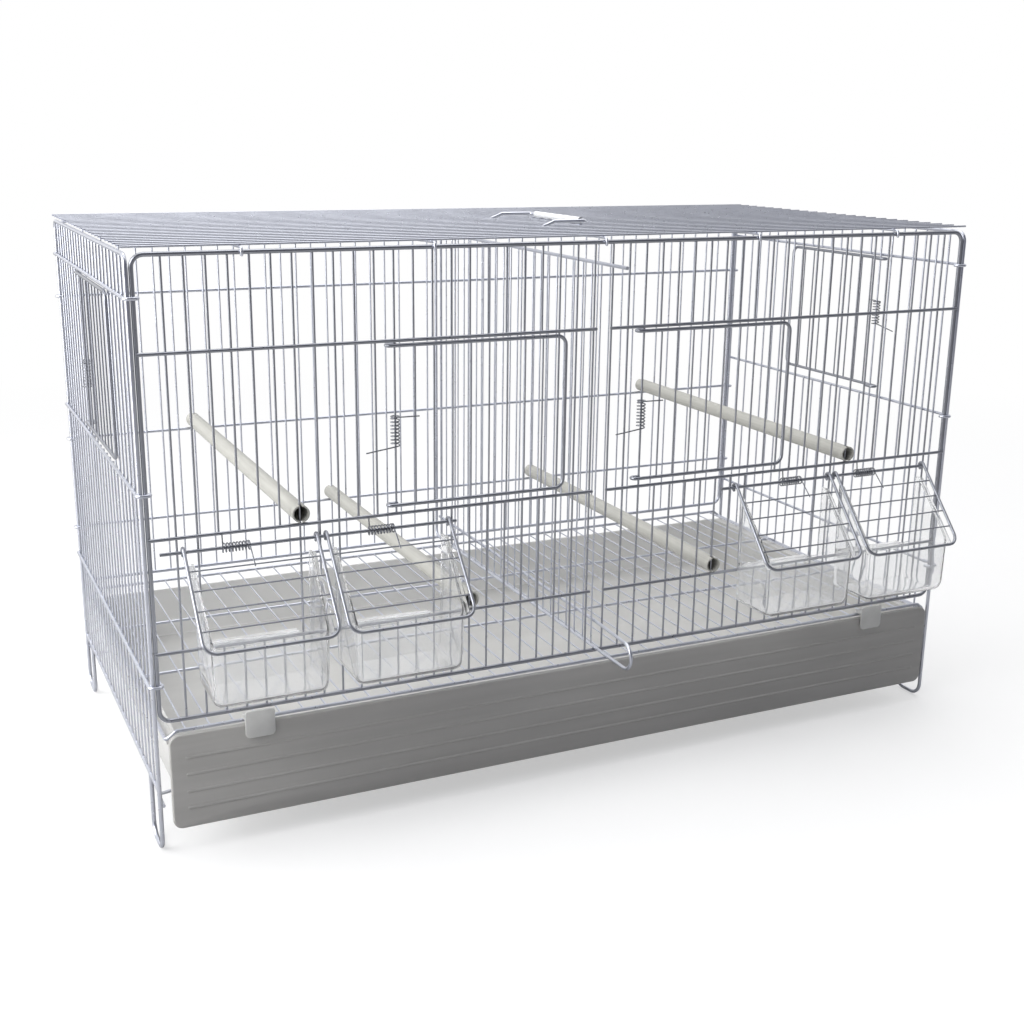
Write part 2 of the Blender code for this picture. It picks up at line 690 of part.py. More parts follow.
def cup_outline(inset, x, open_top):
    """The cup's side view in (w, v), drawn at x. The inner one runs out past its open top and back."""
    slope = math.tan(HATCH_SLOPE)
    back, front = CUP_BACK_W + inset, CUP_BACK_W + CUP_DEPTH - inset
    bottom = CUP_BOTTOM + inset
    bend = CUP_BEND - inset
    heel = arc(Vector((x, bottom + bend, front - bend)), bend, math.radians(-90), 0, 3, Z, Y)
    points = [Vector((x, bottom, back))] + heel
    if not open_top:
        fall = (CUP_BACK_TOP - CUP_FRONT_TOP) / slope
        points += [Vector((x, CUP_FRONT_TOP, front)), Vector((x, CUP_BACK_TOP, front - fall)),
                   Vector((x, CUP_BACK_TOP, back))]
        return points
    rise = ROD_HEIGHT
    low_back = RAIL_LOW + RAIL_R + GAP + CUP_WALL + SINK
    points += [Vector((x, rise, front)), Vector((x, rise, CUP_BACK_W - CUP_WALL)),
               Vector((x, low_back, CUP_BACK_W - CUP_WALL)), Vector((x, low_back, back))]
    return points


def cup_lip():
    """The lip on the low back wall, which hangs on the panel's low rail."""
    half = CUP_LIP_WIDTH / 2
    under = RAIL_LOW + RAIL_R + GAP
    inner = -BAR_HALF - GAP - CUP_WALL
    bm = bmesh.new()
    outer = CUP_BACK_W + CUP_WALL / 2
    tip = under - CUP_LIP_DROP
    corners = ((under, outer), (under, inner + CUP_WALL), (tip, inner + CUP_WALL), (tip, inner),
               (under + CUP_WALL, inner), (under + CUP_WALL, outer))
    extruded(bm, [Vector((-half, v, w)) for v, w in corners], Vector((2 * half, 0, 0)))
    return bm


def cup_flanges():
    """Bands along the sloping top edges of both cheeks."""
    bm = bmesh.new()
    slope = math.tan(HATCH_SLOPE)
    front = CUP_BACK_W + CUP_DEPTH - CUP_WALL / 2
    fall = (CUP_BACK_TOP - CUP_FRONT_TOP) / slope
    drop = CUP_WALL + SINK
    top = CUP_BACK_TOP - SINK
    low = CUP_FRONT_TOP - SINK
    for side in (-1, 1):
        x = side * (CUP_WIDTH / 2 - CUP_WALL / 2)
        corners = ((low, front), (top, front - fall), (top - drop, front - fall), (low - drop, front))
        outwards = Vector((side * (CUP_FLANGE + CUP_WALL / 2), 0, 0))
        extruded(bm, [Vector((x, v, w)) for v, w in corners], outwards)
    return bm


def feeder_cup(name, place):
    half = CUP_WIDTH / 2
    bm = bmesh.new()
    extruded(bm, cup_outline(0, -half, False), Vector((2 * half, 0, 0)))
    hollow = bmesh.new()
    extruded(hollow, cup_outline(CUP_WALL, CUP_WALL - half, True), Vector((2 * (half - CUP_WALL), 0, 0)))
    cup = solid(name, bm, clear_plastic, place)
    cut(cup, hollow)
    weld(cup, cup_lip(), cup_flanges())


def feeder_cups():
    for name, place in hatch_places().items():
        feeder_cup(name + "_feeder_cup", FRONT @ Matrix.Translation((place.translation.x, 0, 0)))


# Springs


def coil(turns, length, start):
    """Points round the w axis's plane: the coil climbs along v and begins and ends at w = COIL_R."""
    count = turns * COIL_POINTS
    angles = [math.tau * k / COIL_POINTS for k in range(count + 1)]
    return [
        Vector((COIL_R * math.sin(a), start + length * k / count, COIL_R * math.cos(a)))
        for k, a in enumerate(angles)
    ]


def stretch_gap(a, b, c, d):
    """Least distance between the straight stretches a-b and c-d, from points along both."""
    shares = [k / 4 for k in range(5)]
    return min((a.lerp(b, s) - c.lerp(d, t)).length for s in shares for t in shares)


def least_self_gap(path):
    """Least gap between the tube and itself, leaving out neighbouring stretches."""
    stretches = list(zip(path, path[1:]))
    apart = COIL_POINTS // 2
    gaps = [
        stretch_gap(*stretches[i], *stretches[j])
        for i in range(len(stretches))
        for j in range(i + apart, len(stretches))
    ]
    return min(gaps) - 2 * SPRING_R


def spring(name, path, place):
    curve = bpy.data.curves.new(name, "CURVE")
    curve.dimensions = "3D"
    curve.bevel_depth = SPRING_R
    curve.bevel_resolution = 1
    curve.use_fill_caps = True
    line = curve.splines.new("POLY")
    line.points.add(len(path) - 1)
    for point, position in zip(line.points, path):
        point.co = (*position, 1)
    obj = finish(bpy.data.objects.new(name, curve), spring_wire)
    obj.matrix_basis = place
    print(f"{name}: least gap to itself {least_self_gap(path) / MM:.2f} mm")


def door_spring(name, place, bottom, top, share):
    """Wound round the hinge bar, with one leg on the panel's bars and one on the door's."""
    height = bottom + (top - bottom) * share
    low = Vector((-SPRING_PANEL_LEG, -COIL_LENGTH / 6, BAR_HALF + GAP + SPRING_R))
    high = Vector((SPRING_DOOR_LEG, COIL_LENGTH, DOOR_W + LIGHT_BAR_HALF + GAP + SPRING_R))
    path = [low] + coil(DOOR_COIL_TURNS, COIL_LENGTH, 0) + [high]
    spring(name, path, place @ Matrix.Translation((0, height, 0)))


def hatch_springs():
    """Wound round the hatch rod: one leg up on the middle rail, the other down on the hatch."""
    turned = Matrix.Rotation(-math.pi / 2, 4, "Z")
    rail_leg = Vector((-(RAIL_MIDDLE - ROD_HEIGHT), 0, RAIL_W + RAIL_R + GAP + SPRING_R - ROD_W))
    first_bar = HATCH_LENGTH - HATCH_END_STEP - (HATCH_BARS - 1) * HATCH_BAR_STEP + HATCH_BAR_HALF * 4
    over_bar = HATCH_W + HATCH_BAR_HALF + GAP + SPRING_R
    down = Vector((
        first_bar * math.sin(HATCH_SLOPE) - over_bar * math.cos(HATCH_SLOPE),
        0,
        first_bar * math.cos(HATCH_SLOPE) + over_bar * math.sin(HATCH_SLOPE),
    ))
    for (name, place), start in zip(hatch_places().items(), HATCH_SPRING_STARTS):
        winding = coil(HATCH_COIL_TURNS, HATCH_COIL_LENGTH, start)
        path = [rail_leg + Y * start] + winding + [down + Y * (start + HATCH_COIL_LENGTH)]
        spring(name + "_hatch_spring", path, place @ turned)


# Perches


def perch(name, u, rail):
    """A tube whose slotted ends straddle a bar of each panel and rest on its rail."""
    height = rail + RAIL_R + GAP + PERCH_R
    half = PERCH_HALF
    tube = bmesh.new()
    wire(tube, ((0, -half, 0), (0, half, 0)), PERCH_R, 12, 0)
    bore = bmesh.new()
    wire(bore, ((0, -half - PERCH_R, 0), (0, half + PERCH_R, 0)), PERCH_R - PERCH_WALL, 12, 0)
    slots = bmesh.new()
    slot = BAR_HALF + PERCH_SLOT_CLEAR
    for side in (-1, 1):
        deep, out = side * (DEPTH / 2 - slot), side * (half + PERCH_R)
        low, high = min(deep, out), max(deep, out)
        box(slots, (-slot, low, -2 * PERCH_R), (slot, high, 2 * PERCH_R))
    cut(solid(name, tube, perch_plastic, CAGE @ Matrix.Translation((u, 0, height))), bore, slots)


def perches():
    for side, sign in (("left", -1), ("right", 1)):
        perch(side + "_upper_perch", sign * bar_u(UPPER_PERCH_BAR), RAIL_MIDDLE)
        perch(side + "_lower_perch", sign * bar_u(LOWER_PERCH_BAR), RAIL_LOW)


# Divider


def divider_grid():
    """Slides in through the slot: bars in a wire frame whose lower corner is drawn out to a handle."""
    back = DEPTH / 2 - DIVIDER_BACK_GAP
    tip = FRONT_Y - HANDLE_LEAD + HANDLE_LOOP_R
    loop_top = DIVIDER_BOTTOM + 2 * HANDLE_LOOP_R
    beside = LIGHT_BAR_HALF + SINK + DIVIDER_R
    corners = [Vector(p) for p in ((FRONT_Y - DIVIDER_TOP_LEAD, DIVIDER_TOP, 0), (back, DIVIDER_TOP, 0),
                                   (back, DIVIDER_BOTTOM, 0), (tip, DIVIDER_BOTTOM, 0))]
    loop = arc(Vector((tip, DIVIDER_BOTTOM + HANDLE_LOOP_R, 0)), HANDLE_LOOP_R,
               math.radians(270), math.radians(90), 6, X, Y)
    upper = [Vector((FRONT_Y, loop_top, beside)), Vector((back - 2 * DIVIDER_R - GAP, loop_top, beside))]
    frame = bmesh.new()
    wire(frame, rounded(corners, CORNER)[:-1] + loop + upper, DIVIDER_R)
    bars = bmesh.new()
    first = FRONT_Y + BAR_HALF + GAP + 2 * DIVIDER_R
    count = int((back - first - PITCH / 2) / PITCH) + 1
    for k in range(count):
        u = first + k * PITCH
        bar(bars, (u, DIVIDER_BOTTOM, 0), (u, DIVIDER_TOP, 0), LIGHT_BAR_HALF)
    slide = pivot("divider_slide", CAGE @ basis(Vector((0, 0, 0)), Y, Z, X))
    weld(solid("divider_grid", frame, zinc_wire, parent=slide), bars)


# Tray, floor grille and clips


def tray_ribs(half, front):
    bm = bmesh.new()
    for z in TRAY_RIBS:
        low = (TRAY_RIB_INSET - half, front - TRAY_RIB_PROUD, z - TRAY_RIB_HIGH / 2)
        high = (half - TRAY_RIB_INSET, front + TRAY_RIB_PROUD, z + TRAY_RIB_HIGH / 2)
        box(bm, low, high)
    return bm


def tray():
    """A drawer with a rounded front plate, whose side rims carry the floor grille."""
    plate_half = END_X - TRAY_PLATE_SIDE_GAP
    front = FRONT_Y - TRAY_PLATE_LEAD - TRAY_PLATE_THICK
    outline = rectangle(-plate_half, plate_half, TRAY_PLATE_BOTTOM, TRAY_PLATE_TOP)
    plate = bmesh.new()
    corners = [Vector((p.x, front, p.y)) for p in rounded(outline, TRAY_CORNER, 4, closed=True)]
    extruded(plate, corners, Vector((0, TRAY_PLATE_THICK, 0)))
    half = END_X - TRAY_SIDE_GAP
    back = DEPTH / 2 - TRAY_BACK_GAP
    body = bmesh.new()
    box(body, (-half, front + TRAY_PLATE_THICK / 2, TRAY_FLOOR), (half, back, TRAY_RIM_TOP))
    rim = bmesh.new()
    rim_half = half + TRAY_RIM_WIDTH
    rim_front = front + TRAY_PLATE_THICK + TRAY_WALL
    rim_top = TRAY_RIM_TOP - SINK
    box(rim, (-rim_half, rim_front, rim_top - TRAY_RIM_THICK), (rim_half, back - SINK, rim_top))
    hollow = bmesh.new()
    low = (TRAY_WALL - half, front + TRAY_PLATE_THICK + TRAY_WALL, TRAY_FLOOR + TRAY_WALL)
    box(hollow, low, (half - TRAY_WALL, back - TRAY_WALL, TRAY_PLATE_TOP))
    slide = pivot("tray_slide", CAGE)
    drawer = solid("tray", plate, grey_plastic, parent=slide)
    weld(drawer, body, rim, tray_ribs(plate_half, front))
    cut(drawer, hollow)


def grille_staple(y, shoulder_z, foot_z, radius):
    """A wire across the cage with both ends bent down to the side runners."""
    foot = END_X - GRILLE_SIDE_GAP
    shoulder = foot - GRILLE_SHOULDER
    corners = ((-foot, foot_z), (-shoulder, shoulder_z), (shoulder, shoulder_z), (foot, foot_z))
    bm = bmesh.new()
    wire(bm, [Vector((x, y, z)) for x, z in corners], radius)
    return bm


def floor_grille():
    """Wires from front to back that rest, by their side runners, on the rims of the tray."""
    foot = END_X - GRILLE_SIDE_GAP
    shoulder = foot - GRILLE_SHOULDER
    front, back = FRONT_Y - GRILLE_LEAD, DEPTH / 2 - GRILLE_BACK_GAP
    low = GRILLE_Z - GRILLE_DROP
    loop = ((-shoulder, front, GRILLE_Z), (shoulder, front, GRILLE_Z), (foot, front, low),
            (foot, back, low), (shoulder, back, GRILLE_Z), (-shoulder, back, GRILLE_Z),
            (-foot, back, low), (-foot, front, low))
    frame = bmesh.new()
    wire(frame, rounded([Vector(p) for p in loop], GRILLE_BEND, 2, closed=True), GRILLE_R, closed=True)
    wires = bmesh.new()
    count = int((shoulder - LIGHT_BAR_HALF * 2) / GRILLE_PITCH)
    for k in range(-count, count + 1):
        bar(wires, (k * GRILLE_PITCH, front, GRILLE_Z), (k * GRILLE_PITCH, back, GRILLE_Z), LIGHT_BAR_HALF)
    under = GRILLE_Z - LIGHT_BAR_HALF - SINK - RAIL_R
    slide = pivot("floor_grille_slide", CAGE)
    grille = solid("floor_grille", frame, zinc_wire, parent=slide)
    supports = [grille_staple(y, under, low + GRILLE_R / 2, RAIL_R) for y in (-DEPTH / 6, DEPTH / 6)]
    weld(grille, wires, *supports)
    return slide


def tray_clip(name, x, parent):
    """A plastic clip on the grille's front wire, with its tab over the tray's plate."""
    tab_back = FRONT_Y - TRAY_PLATE_LEAD - TRAY_PLATE_THICK - TRAY_RIB_PROUD - GAP
    seat = GRILLE_Z + GRILLE_R + GAP
    inner = FRONT_Y
    tab = tab_back - CLIP_THICK
    corners = ((tab, CLIP_BOTTOM), (tab_back, CLIP_BOTTOM), (tab_back, seat), (inner, seat),
               (inner, seat + CLIP_THICK), (tab_back, seat + CLIP_THICK), (tab_back, CLIP_TOP), (tab, CLIP_TOP))
    bm = bmesh.new()
    outline = [Vector((x - CLIP_WIDTH / 2, y, z)) for y, z in corners]
    extruded(bm, outline, Vector((CLIP_WIDTH, 0, 0)))
    solid(name, bm, clear_plastic, parent=parent)


# Carrying handle


def carry_handle():
    """A bail hooked round the middle cross wire of the top, with a plastic grip."""
    axis_z = TOP_CROSS_Z - 2 * SINK
    hinge = pivot("carry_handle_hinge", CAGE @ Matrix.Translation((0, CARRY_CENTRE_Y, axis_z)))
    ring = TOP_RAIL_R + GAP + CARRY_WIRE_R
    lift = TOP_BAR_Z + BAR_HALF + GAP + GRIP_R - axis_z
    hook = arc(Vector((0, 0, 0)), ring, math.radians(300), math.radians(90), 5, X, Z)
    near = [Vector((p.x, -CARRY_HALF, p.z)) for p in hook]
    far = [Vector((p.x, CARRY_HALF, p.z)) for p in reversed(hook)]
    corners = [near[-1], Vector((ring * 2, -CARRY_HALF, lift)), Vector((CARRY_REACH, -CARRY_HALF, lift)),
               Vector((CARRY_REACH, CARRY_HALF, lift)), Vector((ring * 2, CARRY_HALF, lift)), far[0]]
    bail = bmesh.new()
    wire(bail, near[:-1] + rounded(corners, CORNER / 2) + far[1:], CARRY_WIRE_R, up=(0, 1, 0), turn=0)
    solid("carry_handle", bail, zinc_wire, parent=hinge)
    grip = bmesh.new()
    wire(grip, ((CARRY_REACH, -GRIP_HALF, lift), (CARRY_REACH, GRIP_HALF, lift)), GRIP_R, 8, 0)
    bore = bmesh.new()
    ends = ((CARRY_REACH, -2 * GRIP_HALF, lift), (CARRY_REACH, 2 * GRIP_HALF, lift))
    wire(bore, ends, CARRY_WIRE_R + GAP, 8, 0)
    cut(solid("handle_grip", grip, white_plastic, parent=hinge), bore)


def build():
    clear_scene()
    front_panel()
    back_panel()
    side_panel("left_side_panel", LEFT, 1, LEFT_SIDE_DOOR_BAR)
    side_panel("right_side_panel", RIGHT, -1, RIGHT_SIDE_DOOR_BAR)
    top_panel()
    doors()
    hatch_rods()
    hatches()
    feeder_cups()
    hatch_springs()
    perches()
    divider_grid()
    tray()
    grille_slide = floor_grille()
    tray_clip("left_tray_clip", CLIP_INSET - END_X, grille_slide)
    tray_clip("right_tray_clip", END_X - CLIP_INSET, grille_slide)
    carry_handle()


build()
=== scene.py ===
"""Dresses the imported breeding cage: round zinc wires, wound springs, clear cups and a moulded tray.

Everything is in metres in the part's own frame: X along the front, Y to the back, Z up. Each
grille is drawn flat in (u, v, w), u to the right and v up as seen from outside, w outwards.
"""

import json
import math

import bmesh
import bpy
from mathutils import Matrix, Vector

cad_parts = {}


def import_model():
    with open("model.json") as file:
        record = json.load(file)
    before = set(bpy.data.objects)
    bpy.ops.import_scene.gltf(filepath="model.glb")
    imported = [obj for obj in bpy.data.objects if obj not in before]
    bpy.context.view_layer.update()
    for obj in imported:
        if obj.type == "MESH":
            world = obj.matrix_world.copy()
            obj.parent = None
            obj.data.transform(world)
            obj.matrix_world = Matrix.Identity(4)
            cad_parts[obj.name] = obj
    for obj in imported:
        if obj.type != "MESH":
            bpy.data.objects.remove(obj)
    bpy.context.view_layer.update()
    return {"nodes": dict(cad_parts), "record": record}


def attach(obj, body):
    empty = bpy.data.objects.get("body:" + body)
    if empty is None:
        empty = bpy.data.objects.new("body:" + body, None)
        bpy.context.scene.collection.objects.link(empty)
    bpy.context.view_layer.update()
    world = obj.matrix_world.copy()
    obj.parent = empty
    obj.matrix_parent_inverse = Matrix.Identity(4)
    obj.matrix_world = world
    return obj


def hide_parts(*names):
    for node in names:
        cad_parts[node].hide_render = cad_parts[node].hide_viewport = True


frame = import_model()

MM = 0.001
SET_BACK = 25.05 * MM  # middle of the cage behind the middle of the whole object
HALF_WIDTH = 300 * MM
HALF_DEPTH = 147.3 * MM
SIDE_X = 303.1 * MM
TOP = 370 * MM
BOTTOM = 88.3 * MM
PITCH = 12.6 * MM
HALF_SLOT = 6.6 * MM
BARS_PER_HALF = 23
SIDE_BARS_PER_HALF = 11
RAILS = (314.3 * MM, 204.5 * MM, 133 * MM)
SIDE_RAILS = (346 * MM, 232 * MM, 112 * MM)
SIDE_BOTTOM = 42 * MM
CORNER = 7 * MM

FRAME_R = 1.4 * MM
RAIL_R = 1.12 * MM
BAR_R = 0.72 * MM
LIGHT_R = 0.62 * MM
DOOR_R = 1.2 * MM
HATCH_R = 1.1 * MM
SPRING_R = 0.45 * MM
RAIL_W = 1.9 * MM
ROD_W = 2.45 * MM
ROD_Z = 195.5 * MM
DOOR_W = 2.42 * MM
DOOR_WIDTH = 117.3 * MM
HATCH_W = 2.5 * MM
HATCH_HALF = 41 * MM
HATCH_LENGTH = 67.3 * MM
HATCH_SLOPE = math.radians(48.5)
HATCH_BAR_GAP = 12.9 * MM
LAST_HATCH_BAR = 14.5 * MM  # from the hatch's lower edge
COIL_R = 2.7 * MM
COIL_TURNS = 8
SIDE_HOOK = 2.8 * MM
TOP_BARS_Z = 374.15 * MM
TRAY_FACE = -153.3 * MM
TRAY_FRONT_WALL = 3 * MM
TRAY_BACK = 140 * MM
TRAY_WALL = 1.8 * MM

X, Y, Z = Vector((1, 0, 0)), Vector((0, 1, 0)), Vector((0, 0, 1))


def basis(origin, u, v, w):
    """The place of a grille that is drawn flat."""
    turned = Matrix((u, v, w)).transposed().to_4x4()
    turned.translation = origin
    return Matrix.Translation((0, SET_BACK, 0)) @ turned


CAGE = basis(Vector(), X, Y, Z)
FRONT = basis(Vector((0, -HALF_DEPTH, 0)), X, Z, -Y)
BACK = basis(Vector((0, HALF_DEPTH, 0)), -X, Z, Y)
LEFT = basis(Vector((-SIDE_X, 0, 0)), -Y, Z, -X)
RIGHT = basis(Vector((SIDE_X, 0, 0)), Y, Z, X)


# Materials


def shader_of(name):
    """A new material with its nodes and its shader."""
    made = bpy.data.materials.new(name)
    made.use_nodes = True
    return made, made.node_tree, made.node_tree.nodes["Principled BSDF"]


def add(tree, kind, **values):
    """A new node with its settings or the values of its sockets."""
    made = tree.nodes.new(kind)
    for key, value in values.items():
        if key in made.inputs:
            made.inputs[key].default_value = value
        else:
            setattr(made, key, value)
    return made


def noise(tree, scale, detail=3.0, roughness=0.55, stretch=(1, 1, 1)):
    """Noise on the object's own coordinates."""
    where = add(tree, "ShaderNodeTexCoord")
    mapping = add(tree, "ShaderNodeMapping")
    mapping.inputs["Scale"].default_value = stretch
    made = add(tree, "ShaderNodeTexNoise", Scale=scale, Detail=detail, Roughness=roughness)
    tree.links.new(where.outputs["Object"], mapping.inputs["Vector"])
    tree.links.new(mapping.outputs["Vector"], made.inputs["Vector"])
    return made.outputs["Fac"]


def ramp(tree, factor, *stops):
    """Colours at positions along a factor."""
    made = add(tree, "ShaderNodeValToRGB")
    elements = made.color_ramp.elements
    while len(elements) < len(stops):
        elements.new(0.5)
    for element, (position, colour) in zip(elements, stops):
        element.position = position
        element.color = (*colour, 1.0)
    tree.links.new(factor, made.inputs["Fac"])
    return made.outputs["Color"]


def spread(tree, factor, low, high):
    """A factor from 0 to 1, laid out between two values."""
    made = add(tree, "ShaderNodeMapRange")
    made.inputs["To Min"].default_value = low
    made.inputs["To Max"].default_value = high
    tree.links.new(factor, made.inputs["Value"])
    return made.outputs["Result"]


def bump(tree, shader, height, distance, strength=1.0):
    """Fine relief."""
    made = add(tree, "ShaderNodeBump", Distance=distance, Strength=strength)
    tree.links.new(height, made.inputs["Height"])
    tree.links.new(made.outputs["Normal"], shader.inputs["Normal"])


def zinc(name, shade):
    """Zinc wire under a clear passivation: blue-grey, faintly mottled, a little hazy. Its shade level
    makes a darker copy, which is painted shade, or a paler copy, which is painted light.
    """
    made, tree, shader = shader_of(name)
    blue_grey = (0.9, 0.925, 1.02)
    dark, plain, light = ([shade * step * part for part in blue_grey] for step in (0.93, 1.0, 1.05))
    colour = ramp(tree, noise(tree, 90, 3.0), (0.3, dark), (0.55, plain), (0.8, light))
    tree.links.new(colour, shader.inputs["Base Color"])
    tree.links.new(spread(tree, noise(tree, 300), 0.24, 0.34), shader.inputs["Roughness"])
    bump(tree, shader, noise(tree, 1200, 2.0), 0.00001, 0.15)
    shader.inputs["Metallic"].default_value = 0.95
    return made


def spring_steel():
    """Drawn steel wire with the die's fine marks, darker than the zinc."""
    made, tree, shader = shader_of("drawn_spring_steel")
    colour = ramp(tree, noise(tree, 400), (0.35, (0.20, 0.205, 0.225)), (0.7, (0.33, 0.34, 0.37)))
    tree.links.new(colour, shader.inputs["Base Color"])
    tree.links.new(spread(tree, noise(tree, 1400), 0.2, 0.34), shader.inputs["Roughness"])
    shader.inputs["Metallic"].default_value = 1.0
    return made


def clear_styrene():
    """Clear moulded plastic in a thin wall, with the faint waviness and cloud of a moulding."""
    made, tree, shader = shader_of("clear_cup_styrene")
    cloud = ramp(tree, noise(tree, 45, 3.0),
                 (0.35, (0.95, 0.955, 0.96)), (0.7, (0.985, 0.985, 0.985)))
    tree.links.new(cloud, shader.inputs["Base Color"])
    tree.links.new(spread(tree, noise(tree, 120), 0.0, 0.05), shader.inputs["Roughness"])
    bump(tree, shader, noise(tree, 60, 2.0), 0.0008, 0.2)
    shader.inputs["Transmission Weight"].default_value = 0.94
    shader.inputs["IOR"].default_value = 1.16
    shader.inputs["Coat Weight"].default_value = 1.0
    shader.inputs["Coat Roughness"].default_value = 0.03
    shader.inputs["Coat IOR"].default_value = 1.55
    return made


def milky_clip():
    """Soft milky plastic, which lets light through but nothing to be seen."""
    made, tree, shader = shader_of("milky_clip_plastic")
    cloud = ramp(tree, noise(tree, 90, 3.0), (0.3, (0.74, 0.74, 0.725)), (0.7, (0.84, 0.84, 0.825)))
    tree.links.new(cloud, shader.inputs["Base Color"])
    tree.links.new(spread(tree, noise(tree, 300), 0.28, 0.42), shader.inputs["Roughness"])
    shader.inputs["Transmission Weight"].default_value = 0.35
    shader.inputs["IOR"].default_value = 1.3
    return made


def shift(tree, share, colour, other):
    """One colour that goes over to another by a share."""
    made = add(tree, "ShaderNodeMix", data_type="RGBA")
    tree.links.new(share, made.inputs[0])
    for socket, value in ((made.inputs[6], colour), (made.inputs[7], other)):
        if isinstance(value, tuple):
            socket.default_value = (*value, 1)
        else:
            tree.links.new(value, socket)
    return made.outputs[2]


def tray_grey():
    """Warm grey moulded plastic with a fine satin grain and faint flow marks.

    Light is painted into its colour: darkest on its front as painted shade, paler behind and palest
    on the inner back wall as painted light.
    """
    made, tree, shader = shader_of("warm_grey_moulding")
    flow = noise(tree, 9, 4.0, 0.5, (1, 5, 14))
    # Painted shade on the front wall; the paler basin is painted light.
    front = ramp(tree, flow, (0.3, (0.415, 0.406, 0.388)), (0.7, (0.465, 0.456, 0.437)))
    basin = ramp(tree, flow, (0.3, (0.57, 0.565, 0.545)), (0.7, (0.62, 0.615, 0.595)))
    place = add(tree, "ShaderNodeSeparateXYZ")
    tree.links.new(add(tree, "ShaderNodeTexCoord").outputs["Object"], place.inputs[0])
    front_ends = SET_BACK + TRAY_FACE + TRAY_FRONT_WALL
    behind = add(tree, "ShaderNodeMapRange")
    behind.inputs["From Min"].default_value = front_ends - 1.25 * MM
    behind.inputs["From Max"].default_value = front_ends + 0.75 * MM
    tree.links.new(place.outputs["Y"], behind.inputs["Value"])
    inner_back = add(tree, "ShaderNodeMath", operation="COMPARE")
    inner_back.inputs[1].default_value = SET_BACK + TRAY_BACK - TRAY_WALL
    inner_back.inputs[2].default_value = 0.5 * MM
    tree.links.new(place.outputs["Y"], inner_back.inputs[0])
    shade = shift(tree, behind.outputs["Result"], front, basin)
    # Painted light: the inner back wall is made almost white.
    shade = shift(tree, inner_back.outputs[0], shade, (0.88, 0.875, 0.85))
    tree.links.new(shade, shader.inputs["Base Color"])
    tree.links.new(spread(tree, noise(tree, 260, 5.0), 0.36, 0.52), shader.inputs["Roughness"])
    bump(tree, shader, noise(tree, 1500, 3.0), 0.00005, 0.3)
    return made


def perch_cream():
    """Extruded cream plastic with fine lines along the tube."""
    made, tree, shader = shader_of("cream_extrusion")
    lines = noise(tree, 700, 3.0, 0.5, (1, 0.02, 1))
    colour = ramp(tree, lines, (0.3, (0.42, 0.415, 0.38)), (0.7, (0.49, 0.485, 0.445)))
    tree.links.new(colour, shader.inputs["Base Color"])
    tree.links.new(spread(tree, noise(tree, 300), 0.42, 0.58), shader.inputs["Roughness"])
    bump(tree, shader, lines, 0.00006, 0.4)
    return made


def sleeve_white():
    """Smooth white sleeve, a little greyed by hands."""
    made, tree, shader = shader_of("white_sleeve")
    colour = ramp(tree, noise(tree, 180), (0.3, (0.72, 0.73, 0.75)), (0.7, (0.82, 0.83, 0.84)))
    tree.links.new(colour, shader.inputs["Base Color"])
    tree.links.new(spread(tree, noise(tree, 500), 0.3, 0.42), shader.inputs["Roughness"])
    return made


# One zinc in two copies: darker on the front's wires, doors, hatches and rods as painted shade, paler
# on the other wires as painted light.
SHADED_ZINC = zinc("zinc_wire_painted_shade", 0.40)
LIT_ZINC = zinc("zinc_wire_painted_light", 0.72)
SPRING = spring_steel()
CLEAR = clear_styrene()
MILKY = milky_clip()
GREY = tray_grey()
CREAM = perch_cream()
WHITE = sleeve_white()
SLOTS = {"zinc_wire": LIT_ZINC, "spring_wire": SPRING, "clear_plastic": CLEAR,
         "grey_plastic": GREY, "perch_plastic": CREAM, "white_plastic": WHITE}


# Wire bending


def along_z(direction):
    """The turn that lays Z along a direction."""
    return Z.rotation_difference(direction).to_matrix().to_4x4()


class Wire:
    """A round wire, drawn from its start and bent as it goes."""

    def __init__(self, bm, start, heading, radius, sides=10):
        """Its two end faces, still in one place."""
        self.bm = bm
        self.at = Vector(start)
        self.heading = Vector(heading).normalized()
        place = Matrix.Translation(self.at) @ along_z(self.heading)
        made = bmesh.ops.create_circle(bm, cap_ends=True, segments=sides, radius=radius,
                                       matrix=place)
        self.cap = made["verts"][0].link_faces[0]
        if self.cap.normal.dot(self.heading) > 0:
            self.cap.normal_flip()
        self.first = self.cap
        made = bmesh.ops.duplicate(bm, geom=[self.cap])
        self.cap = next(e for e in made["geom"] if isinstance(e, bmesh.types.BMFace))
        self.cap.normal_flip()

    def grow(self):
        """Draws the end face out by nothing, to be moved on."""
        made = bmesh.ops.extrude_face_region(self.bm, geom=[self.cap])["geom"]
        bmesh.ops.delete(self.bm, geom=[self.cap], context="FACES_ONLY")
        self.cap = next(e for e in made if isinstance(e, bmesh.types.BMFace))

    def go(self, point):
        """Straight on to the point."""
        point = Vector(point)
        self.grow()
        bmesh.ops.translate(self.bm, verts=self.cap.verts, vec=point - self.at)
        self.at = point
        return self

    def bend(self, centre, axis, angle, steps):
        """Round a bending pin at the centre."""
        centre, axis = Vector(centre), Vector(axis)
        turn = Matrix.Rotation(angle / steps, 3, axis)
        for _ in range(steps):
            self.grow()
            bmesh.ops.rotate(self.bm, verts=self.cap.verts, cent=centre, matrix=turn)
            self.at = centre + turn @ (self.at - centre)
            self.heading = turn @ self.heading
        return self

    def wind(self, axis_point, axis, angle, rise, steps):
        """Round an axis and along it, as a spring is wound."""
        axis_point, axis = Vector(axis_point), Vector(axis)
        for _ in range(steps):
            self.bend(axis_point, axis, angle / steps, 1)
            lift = axis.normalized() * rise / steps
            bmesh.ops.translate(self.bm, verts=self.cap.verts, vec=lift)
            self.at += lift
        return self


